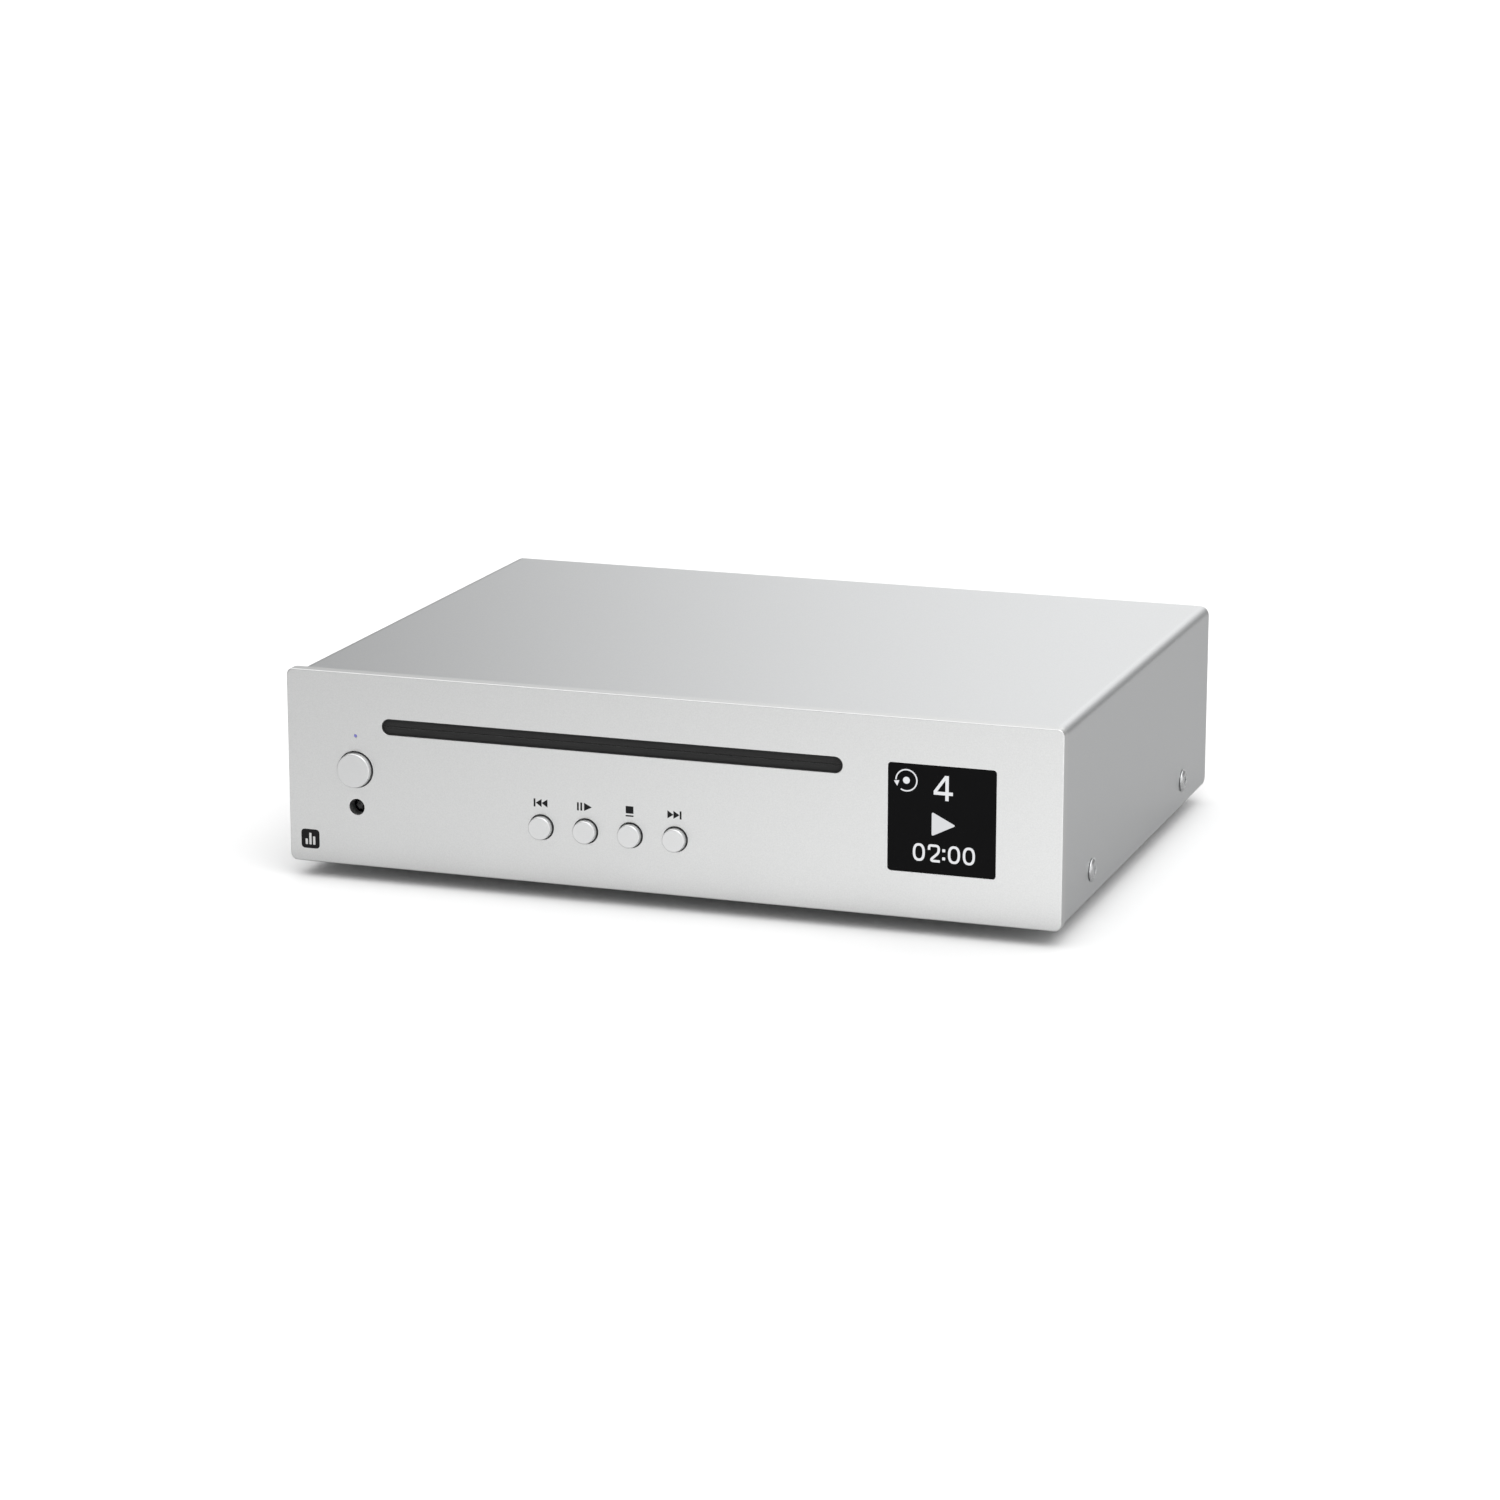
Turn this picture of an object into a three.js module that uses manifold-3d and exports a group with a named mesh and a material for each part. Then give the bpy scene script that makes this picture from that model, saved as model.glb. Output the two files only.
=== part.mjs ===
// Slot-loading compact disc player, half-width desktop size.
// Millimetres, +Z up. +X is to the right of someone facing the front panel and +Y runs to the back.
// Everything below is laid out with y = 0 on the front panel's outer face and z = 0 on the table top;
// the exported group is then shifted so that the origin is under the middle of the whole player.

import * as THREE from 'three';
import { mergeVertices } from 'three/addons/utils/BufferGeometryUtils.js';
import Module from 'manifold-3d';

const wasm = await Module();
wasm.setup();

// ---------------------------------------------------------------- driving dimensions

const DISC = { radius: 60, thickness: 1.2 };
const PANEL = { width: 206, height: 50.8, thickness: 3.4, corner: 1.8 };
const FOOT = { radius: 7, height: 4.9, edge: 0.8, x: 84, y: [26, 136] };
const GROUND_GAP = 4.2;
const COVER = { inset: 1, drop: 0.9, sheet: 1.5, bend: 2.5, lift: 0.6, rear: 154, rearCorner: 2 };
const SCREW = { y: [32, 127], z: 11.6, headRadius: 3, headHeight: 0.8, shankRadius: 1.5, length: 6 };
const TRAY = { sheet: 1.2, bottom: 5, wallTop: 18, lipTop: 14 };
const REAR_PLATE = { sheet: 1.5, front: 150.6, bottom: 5, top: 52.3, corner: 1.5 };

const GAP = 0.1;
const TURNED_GAP = 0.3;
const HOLE_GAP = 0.2;
const CLEARANCE = 0.4;

const PANEL_MIDDLE = GROUND_GAP + PANEL.height / 2;
const SLOT = { x: -15, z: PANEL_MIDDLE + 11.95, width: 2 * DISC.radius + 3.4, height: 4.2 };
const TRANSPORT = { pitch: 12, x: SLOT.x - 0.2, z: PANEL_MIDDLE - 10.7, capRadius: 2.9, flange: 4.2 };
const STANDBY = { x: -84.2, z: PANEL_MIDDLE + 0.1, capRadius: 4.4, flange: 5.8 };
const BUTTON = { proud: 1.9, edge: 0.3, flangeSheet: 1, tail: 6.2, tailRadius: 1.5, gap: 0.4 };
const LIGHT = { x: -84.1, z: PANEL_MIDDLE + 8.96, radius: 0.3, bodyRadius: 1.5 };
const RECEIVER = { x: -84.1, z: PANEL_MIDDLE - 9.83, hole: 2.1, dome: 1.6, body: 3, front: 3.6, depth: 4.6 };
const WINDOW = { x: 72.25, z: PANEL_MIDDLE + 0.15, width: 27.5, height: 27.3, corner: 0.75, glass: 1.5 };
const WINDOW_RECESS = 0.2;
const BOARD = 1.6;
const FRONT_BOARD_Y = 9.6;
const SWITCH = { half: 3, height: 2, plunger: 0.6, plungerRadius: 1.5 };

const SOCKET_Z = 20;
const PHONO = { shell: 4.15, bore: 1.6, boreDepth: 8, nut: 5.6, body: 5.2, reach: 161.6, inner: 141 };
const PHONO_SOCKETS = { line_out_left_socket: 62, line_out_right_socket: 46, coaxial_out_socket: 28 };
const OPTICAL = { x: 10, half: 4.9, recess: 4.1, recessDepth: 6, reach: 154.6, inner: 142 };
const POWER = { x: 84, body: 5.5, throat: 3.1, pin: 1, throatDepth: 9, reach: 154.4, inner: 140 };

// The drive: the disc lies flat behind the slot and is played at its middle.
const DISC_Y = 82;
const DISC_UNDERSIDE = SLOT.z - DISC.thickness / 2;
const DISC_TOP = SLOT.z + DISC.thickness / 2;
const FRAME = { left: -96, right: 53, front: 12, rear: 147, floor: 33, sheet: 1.2, floorFront: 24 };
const LID = { bottom: 48, sheet: 1 };
const WALL_TOP = LID.bottom - GAP;
const LIFT = 5;

const ROLLER = { y: 17, radius: 4, waist: 3.3, shaft: 2, left: -70, right: 40 };
const ROLLER_Z = DISC_UNDERSIDE - ROLLER.radius - GAP;
const GEAR = { module: 0.8, width: 3, x: 54.5, addendum: 0.85, dedendum: 1.2, backlash: 0.3 };
const TEETH = { roller: 16, idler: 30, pinion: 12 };
const IDLER_DROP = 9.2;
const MOTOR = { radius: 9, left: 26, right: 51.5, boss: 3, z: 22.5 };

const TURNTABLE = { radius: 15, platter: 2.5, coneRadius: 7.4, coneTip: 5.5, coneHeight: 3.25, shaft: 1 };
const PLATTER_TOP = DISC_UNDERSIDE - LIFT;
const TRAVERSE = { left: -92, right: 5, halfDepth: 29, bottom: 20.5, sheet: 1.5 };
const TRAVERSE_TOP = TRAVERSE.bottom + TRAVERSE.sheet;
const ROD = { radius: 1.5, offset: 19, z: 24.5, left: -91.6, right: -25 };
const SLED = { bottom: 17.5, top: 27.5, halfDepth: 14, behind: 14, ahead: 8, ear: 4 };
const LENS = { inner: 23, radius: 4, bottom: 32.1, top: 34, block: 6, blockTop: 31.4 };
const LEAD_SCREW = { radius: 1.6, y: DISC_Y + 25.5, z: 26.2, left: -86, right: -26.5 };
const SLED_MOTOR = { radius: 4.1, length: 13, nose: 1.8, noseLength: 1.6 };
const SPINDLE = { radius: 11, top: 28, hub: 4 };
const PUCK = { radius: 15, bottom: 43.9, top: 47.9, recess: 8.6, recessDepth: 3, neck: 4, cap: 6 };
const ARM = { halfWidth: 9, bottom: 49.3, sheet: 1.2, pivotY: 138, pivotZ: 50.8, pin: 1, front: 66 };
const SLIDER = { y: 115, sheet: 1.2, left: -93, right: 4, bottom: 14, top: 32, travel: 12.5, pin: 1.2 };
const SLIDER_PINS = [-74, -4];

// ---------------------------------------------------------------- colours and finishes

const FINISH = {
  satinAluminium: { color: 0xd9dadb, roughness: 0.38, metalness: 0.9 },
  foldedAluminium: { color: 0xc4c5c7, roughness: 0.42, metalness: 0.9 },
  zincSteel: { color: 0xa9acad, roughness: 0.45, metalness: 0.85 },
  chrome: { color: 0xe4e6e8, roughness: 0.15, metalness: 1 },
  darkGlass: { color: 0x0a0a0c, roughness: 0.08, metalness: 0 },
  blackPlastic: { color: 0x17181a, roughness: 0.5, metalness: 0 },
  whitePlastic: { color: 0xd8d6cc, roughness: 0.5, metalness: 0 },
  rubber: { color: 0x1b1b1b, roughness: 0.85, metalness: 0 },
  felt: { color: 0x121213, roughness: 1, metalness: 0 },
  greenBoard: { color: 0x1d5a3a, roughness: 0.5, metalness: 0 },
  blueLight: { color: 0x8f9bff, roughness: 0.3, metalness: 0 },
  gold: { color: 0xc9a24a, roughness: 0.3, metalness: 1 },
};

// ---------------------------------------------------------------- geometry helpers

const ROUND = 18;
const FINE_ROUND = 24;
const COARSE_ROUND = 12;

/** Depth of an extrusion runs along +Y; the outline's y is the player's z. */
const alongY = new THREE.Matrix4().makeRotationX(Math.PI / 2);
/** The outline is drawn as (y, z) and its depth runs along +X. */
const alongX = new THREE.Matrix4().makeBasis(
  new THREE.Vector3(0, 1, 0),
  new THREE.Vector3(0, 0, 1),
  new THREE.Vector3(1, 0, 0),
);

function extrude(shape, depth, curveSegments = 6) {
  return new THREE.ExtrudeGeometry(shape, { depth, bevelEnabled: false, curveSegments });
}

/** A plate whose outline is drawn in x, z and which runs from y0 to y1. */
function plateXZ(shape, y0, y1, curveSegments) {
  return extrude(shape, y1 - y0, curveSegments).applyMatrix4(alongY).translate(0, y1, 0);
}

/** A plate whose outline is drawn in y, z and which runs from x0 to x1. */
function plateYZ(shape, x0, x1, curveSegments) {
  return extrude(shape, x1 - x0, curveSegments).applyMatrix4(alongX).translate(x0, 0, 0);
}

/** A plate whose outline is drawn in x, y and which runs from z0 to z1. */
function plateXY(shape, z0, z1, curveSegments) {
  return extrude(shape, z1 - z0, curveSegments).translate(0, 0, z0);
}

function polygon(points) {
  return new THREE.Shape(points.map(([a, b]) => new THREE.Vector2(a, b)));
}

/** A rectangle with round corners, centred on (a, b). */
function roundedRectangle(a, b, width, height, radius, Kind = THREE.Shape) {
  const right = a + width / 2;
  const top = b + height / 2;
  const left = a - width / 2;
  const bottom = b - height / 2;
  const outline = new Kind();
  outline.moveTo(left + radius, bottom);
  outline.absarc(right - radius, bottom + radius, radius, -Math.PI / 2, 0, false);
  outline.absarc(right - radius, top - radius, radius, 0, Math.PI / 2, false);
  outline.absarc(left + radius, top - radius, radius, Math.PI / 2, Math.PI, false);
  outline.absarc(left + radius, bottom + radius, radius, Math.PI, 1.5 * Math.PI, false);
  return outline;
}

/** Square edges all round, as a box from its low corner to its high corner. */
function block(x0, x1, y0, y1, z0, z1) {
  const box = new THREE.BoxGeometry(x1 - x0, y1 - y0, z1 - z0);
  return box.translate((x0 + x1) / 2, (y0 + y1) / 2, (z0 + z1) / 2);
}

/** A rod or a bore through `centre`, along one axis from `from` to `to`. */
function rod(axis, radius, from, to, centre, sides = ROUND) {
  return turned(axis, [[0, from], [radius, from], [radius, to], [0, to]], centre, sides);
}

/** A turned piece: its profile is (radius, distance along the axis), low end first. */
function turned(axis, profile, centre, sides = ROUND) {
  const lathe = new THREE.LatheGeometry(profile.map(([r, h]) => new THREE.Vector2(r, h)), sides);
  if (axis === 'x') lathe.rotateZ(-Math.PI / 2).translate(0, centre[0], centre[1]);
  if (axis === 'y') lathe.translate(centre[0], 0, centre[1]);
  if (axis === 'z') lathe.rotateX(Math.PI / 2).translate(centre[0], centre[1], 0);
  return lathe;
}

function solid(geometry) {
  const bare = geometry.clone();
  bare.deleteAttribute('normal');
  bare.deleteAttribute('uv');
  const merged = mergeVertices(bare, 1e-4);
  const corners = merged.index.array;
  const triVerts = [];
  for (let i = 0; i < corners.length; i += 3) {
    const [a, b, c] = corners.slice(i, i + 3);
    if (a !== b && b !== c && c !== a) triVerts.push(a, b, c);
  }
  return new wasm.Manifold(new wasm.Mesh({
    numProp: 3,
    vertProperties: new Float32Array(merged.attributes.position.array),
    triVerts: new Uint32Array(triVerts),
  }));
}

function geometryOf(body) {
  const { vertProperties, triVerts } = body.getMesh();
  const geometry = new THREE.BufferGeometry();
  geometry.setAttribute('position', new THREE.BufferAttribute(new Float32Array(vertProperties), 3));
  geometry.setIndex(new THREE.BufferAttribute(new Uint32Array(triVerts), 1));
  geometry.computeVertexNormals();
  return geometry;
}

/** The pieces joined into one solid, less everything in `cuts`. */
function carve(pieces, cuts = []) {
  let body = pieces.map(solid).reduce((sum, piece) => sum.add(piece));
  for (const cut of cuts) body = body.subtract(solid(cut));
  return geometryOf(body);
}

const player = new THREE.Group();

function add(name, geometry, finish) {
  const mesh = new THREE.Mesh(geometry, new THREE.MeshStandardMaterial(FINISH[finish]));
  mesh.name = name;
  player.add(mesh);
  return mesh;
}

const SIDES = { left: -1, right: 1 };

// ---------------------------------------------------------------- casing

function frontPanel() {
  const plate = roundedRectangle(0, PANEL_MIDDLE, PANEL.width, PANEL.height, PANEL.corner);
  const round = (x, z, radius) => new THREE.Path().absarc(x, z, radius, 0, 2 * Math.PI, false);
  plate.holes.push(
    roundedRectangle(SLOT.x, SLOT.z, SLOT.width, SLOT.height, SLOT.height / 2 - 1e-3, THREE.Path),
    roundedRectangle(
      WINDOW.x, WINDOW.z, WINDOW.width + 2 * GAP, WINDOW.height + 2 * GAP, WINDOW.corner + GAP,
      THREE.Path,
    ),
    round(STANDBY.x, STANDBY.z, STANDBY.capRadius + BUTTON.gap),
    round(RECEIVER.x, RECEIVER.z, RECEIVER.hole),
    round(LIGHT.x, LIGHT.z, LIGHT.radius + GAP),
    ...transportX().map((x) => round(x, TRANSPORT.z, TRANSPORT.capRadius + BUTTON.gap)),
  );
  return plateXZ(plate, 0, PANEL.thickness, 7);
}

/** Centres of the four transport buttons, evenly pitched under the slot. */
function transportX() {
  return [-1.5, -0.5, 0.5, 1.5].map((step) => TRANSPORT.x + step * TRANSPORT.pitch);
}

const COVER_HALF = PANEL.width / 2 - COVER.inset;
const COVER_TOP = GROUND_GAP + PANEL.height - COVER.drop;
const COVER_BOTTOM = GROUND_GAP + COVER.lift;
const INSIDE_HALF = COVER_HALF - COVER.sheet;

/** Folded sheet: a top and two sides with rounded bends, open below, in front and behind. */
function topCover() {
  const bendInside = COVER.bend - COVER.sheet;
  const top = COVER_TOP;
  const profile = new THREE.Shape();
  profile.moveTo(-COVER_HALF, COVER_BOTTOM);
  profile.lineTo(-INSIDE_HALF, COVER_BOTTOM);
  profile.absarc(-COVER_HALF + COVER.bend, top - COVER.bend, bendInside, Math.PI, Math.PI / 2, true);
  profile.absarc(COVER_HALF - COVER.bend, top - COVER.bend, bendInside, Math.PI / 2, 0, true);
  profile.lineTo(INSIDE_HALF, COVER_BOTTOM);
  profile.lineTo(COVER_HALF, COVER_BOTTOM);
  profile.absarc(COVER_HALF - COVER.bend, top - COVER.bend, COVER.bend, 0, Math.PI / 2, false);
  profile.absarc(-COVER_HALF + COVER.bend, top - COVER.bend, COVER.bend, Math.PI / 2, Math.PI, false);
  const sheet = plateXZ(profile, PANEL.thickness + GAP, COVER.rear, 5);
  const screwHoles = SCREW.y.map((y) => rod(
    'x', SCREW.shankRadius + HOLE_GAP, -COVER_HALF - 1, COVER_HALF + 1, [y, SCREW.z],
  ));
  const rounding = COVER.rearCorner;
  const corner = new THREE.Shape();
  corner.moveTo(COVER.rear + 1, COVER_BOTTOM - 1);
  corner.lineTo(COVER.rear + 1, COVER_BOTTOM + rounding);
  corner.lineTo(COVER.rear, COVER_BOTTOM + rounding);
  corner.absarc(COVER.rear - rounding, COVER_BOTTOM + rounding, rounding, 0, -Math.PI / 2, true);
  corner.lineTo(COVER.rear - rounding, COVER_BOTTOM - 1);
  return carve([sheet], [...screwHoles, plateYZ(corner, -COVER_HALF - 1, COVER_HALF + 1)]);
}

/** Folded sheet floor with two side walls for the cover's screws and a low lip behind the panel. */
function baseTray() {
  const half = INSIDE_HALF - HOLE_GAP;
  const front = PANEL.thickness + TURNED_GAP;
  const rear = REAR_PLATE.front - GAP;
  const { bottom, sheet } = TRAY;
  const walls = Object.values(SIDES).map((side) => block(
    Math.min(side * half, side * (half - sheet)), Math.max(side * half, side * (half - sheet)),
    front, rear, bottom, TRAY.wallTop,
  ));
  const holes = SCREW.y.map((y) => rod(
    'x', SCREW.shankRadius + HOLE_GAP, -half - 1, half + 1, [y, SCREW.z],
  ));
  return carve([
    block(-half, half, front, rear, bottom, bottom + sheet),
    block(-half, half, front, front + sheet, bottom, TRAY.lipTop),
    ...walls,
  ], holes);
}

function rearPanel() {
  const half = INSIDE_HALF - HOLE_GAP;
  const { front, sheet, bottom, top, corner } = REAR_PLATE;
  const through = [front - 1, front + sheet + 1];
  const opticalHole = OPTICAL.half + HOLE_GAP;
  const outline = roundedRectangle(0, (bottom + top) / 2, 2 * half, top - bottom, corner);
  return carve([plateXZ(outline, front, front + sheet, 3)], [
    ...Object.values(PHONO_SOCKETS).map((x) => rod(
      'y', PHONO.shell + HOLE_GAP, ...through, [x, SOCKET_Z],
    )),
    rod('y', POWER.body + HOLE_GAP, ...through, [POWER.x, SOCKET_Z]),
    block(
      OPTICAL.x - opticalHole, OPTICAL.x + opticalHole, ...through,
      SOCKET_Z - opticalHole, SOCKET_Z + opticalHole,
    ),
  ]);
}

/** A soft stick-on foot with a rounded lower edge. */
function foot(x, y) {
  const { radius, height, edge } = FOOT;
  return turned('z', [
    [0, 0],
    [radius - edge, 0],
    [radius, edge],
    [radius, height],
    [0, height],
  ], [x, y]);
}

/** A raised countersunk screw with a hexagon recess, driven in from the side. */
function coverScrew(side, y) {
  const { headRadius, headHeight, shankRadius, length } = SCREW;
  const under = COVER_HALF + GAP;
  const socketDepth = 0.5;
  const outline = [
    [0, under - length],
    [shankRadius, under - length],
    [shankRadius, under],
    [headRadius, under],
    [headRadius, under + headHeight * 0.35],
    [headRadius * 0.8, under + headHeight],
    [0, under + headHeight],
  ];
  const screw = turned('x', outline, [0, 0]);
  const recess = rod('x', 1.2, under + headHeight - socketDepth, under + headHeight + 1, [0, 0], 6);
  const piece = carve([screw], [recess]);
  if (side < 0) piece.rotateZ(Math.PI);
  return piece.translate(0, y, SCREW.z);
}

function addCasing() {
  add('front_panel', frontPanel(), 'satinAluminium');
  add('top_cover', topCover(), 'foldedAluminium');
  add('base_tray', baseTray(), 'zincSteel');
  add('rear_panel', rearPanel(), 'foldedAluminium');
  for (const [sideName, side] of Object.entries(SIDES)) {
    ['front', 'rear'].forEach((endName, i) => {
      add(`foot_${endName}_${sideName}`, foot(side * FOOT.x, FOOT.y[i]), 'rubber');
      add(`cover_screw_${endName}_${sideName}`, coverScrew(side, SCREW.y[i]), 'chrome');
    });
  }
}

// ---------------------------------------------------------------- controls and display

/** A turned push button: a cap through the panel, a flange behind it and a tail for its switch. */
function button(x, z, capRadius, flange) {
  const behind = PANEL.thickness + 0.15;
  return turned('y', [
    [0, -BUTTON.proud],
    [capRadius - BUTTON.edge, -BUTTON.proud],
    [capRadius, -BUTTON.proud + BUTTON.edge],
    [capRadius, behind],
    [flange, behind],
    [flange, behind + BUTTON.flangeSheet],
    [BUTTON.tailRadius, behind + BUTTON.flangeSheet],
    [BUTTON.tailRadius, BUTTON.tail],
    [0, BUTTON.tail],
  ], [x, z], FINE_ROUND);
}

/** A push switch soldered to the front of a board. */
function pushSwitch(x, z) {
  const { half, height, plunger, plungerRadius } = SWITCH;
  const front = FRONT_BOARD_Y - height;
  return [
    block(x - half, x + half, front, FRONT_BOARD_Y + 0.2, z - half, z + half),
    rod('y', plungerRadius, front - plunger, front + 0.2, [x, z], COARSE_ROUND),
  ];
}

function frontBoard(x0, x1, z0, z1) {
  return block(x0, x1, FRONT_BOARD_Y, FRONT_BOARD_Y + BOARD, z0, z1);
}

function displayModule() {
  const glassHalf = 13.2;
  const glassFront = WINDOW_RECESS + WINDOW.glass + TURNED_GAP;
  const boardFront = 6.2;
  const boardHalf = 15.6;
  const { x, z } = WINDOW;
  return carve([
    block(x - glassHalf, x + glassHalf, glassFront, boardFront + 0.2, z - glassHalf, z + glassHalf),
    block(x - boardHalf, x + boardHalf, boardFront, boardFront + BOARD, z - boardHalf, z + boardHalf),
  ]);
}

/** A black remote-control receiver: a dome looking out of its hole from a moulded block. */
function remoteReceiver() {
  const { x, z, dome, body, front, depth } = RECEIVER;
  const arc = [0, 1, 2, 3, 4].map((step) => {
    const angle = (step / 4) * (Math.PI / 2);
    return [dome * Math.sin(angle), front - dome * Math.cos(angle)];
  });
  return carve([
    turned('y', [...arc, [dome, depth + 0.2], [0, depth + 0.2]], [x, z]),
    block(x - body, x + body, depth, FRONT_BOARD_Y - GAP, z - body, z + body),
  ]);
}

/** A clear light guide, a pin in the panel and a wider body over its light on the board. */
function powerLight() {
  const { radius, bodyRadius, x, z } = LIGHT;
  const shoulder = PANEL.thickness + TURNED_GAP;
  return turned('y', [
    [0, 0],
    [radius, 0],
    [radius, shoulder],
    [bodyRadius, shoulder],
    [bodyRadius, FRONT_BOARD_Y - GAP],
    [0, FRONT_BOARD_Y - GAP],
  ], [x, z], COARSE_ROUND);
}

/** A felt strip behind the slot; the two meet across it with a fine slit for the disc. */
function slotFelt(low, high) {
  const overlap = 3;
  const left = SLOT.x - SLOT.width / 2 - overlap;
  return block(left, left + SLOT.width + 2 * overlap, 5.8, 7, low, high);
}

function addControls() {
  add('standby_button', button(STANDBY.x, STANDBY.z, STANDBY.capRadius, STANDBY.flange),
    'satinAluminium');
  const names = ['previous_button', 'play_button', 'stop_button', 'next_button'];
  transportX().forEach((x, i) => {
    add(names[i], button(x, TRANSPORT.z, TRANSPORT.capRadius, TRANSPORT.flange), 'satinAluminium');
  });
  const { glass, corner, width, height } = WINDOW;
  add('display_window', plateXZ(
    roundedRectangle(WINDOW.x, WINDOW.z, width, height, corner),
    WINDOW_RECESS, WINDOW_RECESS + glass, 4,
  ), 'darkGlass');
  add('display_module', displayModule(), 'greenBoard');
  const [first, , , last] = transportX();
  add('button_board', carve([
    frontBoard(first - 8, last + 8, TRAY.lipTop - 3, TRANSPORT.z + 9),
    ...transportX().flatMap((x) => pushSwitch(x, TRANSPORT.z)),
  ]), 'greenBoard');
  add('standby_board', carve([
    frontBoard(STANDBY.x - 8.5, STANDBY.x + 8.5, RECEIVER.z - 6, LIGHT.z + 4),
    ...pushSwitch(STANDBY.x, STANDBY.z),
  ]), 'greenBoard');
  add('power_light', powerLight(), 'blueLight');
  add('remote_receiver', remoteReceiver(), 'blackPlastic');
  const slit = 0.5;
  const feltHeight = 4.5;
  add('slot_felt_upper', slotFelt(SLOT.z + slit, SLOT.z + slit + feltHeight), 'felt');
  add('slot_felt_lower', slotFelt(SLOT.z - slit - feltHeight, SLOT.z - slit), 'felt');
}

// ---------------------------------------------------------------- rear sockets

/** A phono socket: a body and nut inside, a shell with its bore outside. */
function phonoSocket(x) {
  const inside = REAR_PLATE.front - TURNED_GAP;
  const outside = REAR_PLATE.front + REAR_PLATE.sheet + TURNED_GAP;
  const { shell, bore, boreDepth, nut, body, reach, inner } = PHONO;
  return turned('y', [
    [0, inner],
    [body, inner],
    [body, inside],
    [shell, inside],
    [shell, outside],
    [nut, outside],
    [nut, outside + 1],
    [shell, outside + 1],
    [shell, reach],
    [bore, reach],
    [bore, reach - boreDepth],
    [0, reach - boreDepth],
  ], [x, SOCKET_Z]);
}

function opticalSocket() {
  const { x, half, recess, recessDepth, reach, inner } = OPTICAL;
  return carve(
    [block(x - half, x + half, inner, reach, SOCKET_Z - half, SOCKET_Z + half)],
    [block(x - recess, x + recess, reach - recessDepth, reach + 1, SOCKET_Z - recess, SOCKET_Z + recess)],
  );
}

/** A low-voltage barrel inlet with its centre pin. */
function powerInlet() {
  const { x, body, throat, pin, throatDepth, reach, inner } = POWER;
  return turned('y', [
    [0, inner],
    [body, inner],
    [body, reach],
    [throat, reach],
    [throat, reach - throatDepth],
    [pin, reach - throatDepth],
    [pin, reach - 1],
    [0, reach - 1],
  ], [x, SOCKET_Z]);
}

function addSockets() {
  for (const [name, x] of Object.entries(PHONO_SOCKETS)) add(name, phonoSocket(x), 'gold');
  add('optical_out_socket', opticalSocket(), 'blackPlastic');
  add('power_inlet', powerInlet(), 'blackPlastic');
}

// ---------------------------------------------------------------- electronics

const BOARD_Z = 10;
const BOARD_TOP = BOARD_Z + BOARD;

/** A circuit board on four posts, with its chips as low blocks on its top face. */
function circuitBoard([x0, x1], [y0, y1], chips) {
  const inset = 4;
  const posts = [x0 + inset, x1 - inset].flatMap((x) => [y0 + inset, y1 - inset].map((y) => rod(
    'z', 2.5, TRAY.bottom + TRAY.sheet + GAP, BOARD_Z + 0.5, [x, y], 12,
  )));
  const parts = chips.map(([x, y, width, depth, height]) => block(
    x - width / 2, x + width / 2, y - depth / 2, y + depth / 2, BOARD_Z + 0.5, BOARD_TOP + height,
  ));
  return carve([block(x0, x1, y0, y1, BOARD_Z, BOARD_TOP), ...posts, ...parts]);
}

function capacitor(x, y) {
  const radius = 8;
  const height = 25;
  const base = BOARD_TOP + GAP;
  return turned('z', [
    [0, base],
    [radius, base],
    [radius, base + 2.5],
    [radius - 0.5, base + 3.1],
    [radius, base + 3.7],
    [radius, base + height - 0.6],
    [radius - 0.6, base + height],
    [0, base + height],
  ], [x, y]);
}

/** A comb of upright fins on a common back plate. */
function heatSink(x0, y0) {
  const length = 30;
  const finDepth = 12;
  const base = BOARD_TOP + GAP;
  const top = base + 22;
  const plate = block(x0, x0 + 3, y0, y0 + length, base, top);
  const fins = [0, 1, 2, 3, 4, 5].map((i) => {
    const y = y0 + i * (length - 1.5) / 5;
    return block(x0 + 2, x0 + 3 + finDepth, y, y + 1.5, base, top);
  });
  return carve([plate, ...fins]);
}

function addElectronics() {
  add('main_board', circuitBoard([58.5, 95], [14, 138], [
    [72, 30, 12, 12, 1.6], [86, 30, 10, 7, 2], [70, 52, 9, 9, 1.6], [72, 131, 14, 7, 3],
  ]), 'greenBoard');
  add('servo_board', circuitBoard([-62, 24], [24, 132], [
    [-40, 40, 14, 14, 1.6], [-10, 40, 10, 6, 1.6], [8, 118, 8, 14, 2], [-50, 122, 16, 5, 3],
  ]), 'greenBoard');
  add('filter_capacitor_front', capacitor(86, 62), 'blackPlastic');
  add('filter_capacitor_rear', capacitor(86, 82), 'blackPlastic');
  add('heat_sink', heatSink(76, 94), 'blackPlastic');
}

// ---------------------------------------------------------------- drive frame and loading train

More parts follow.
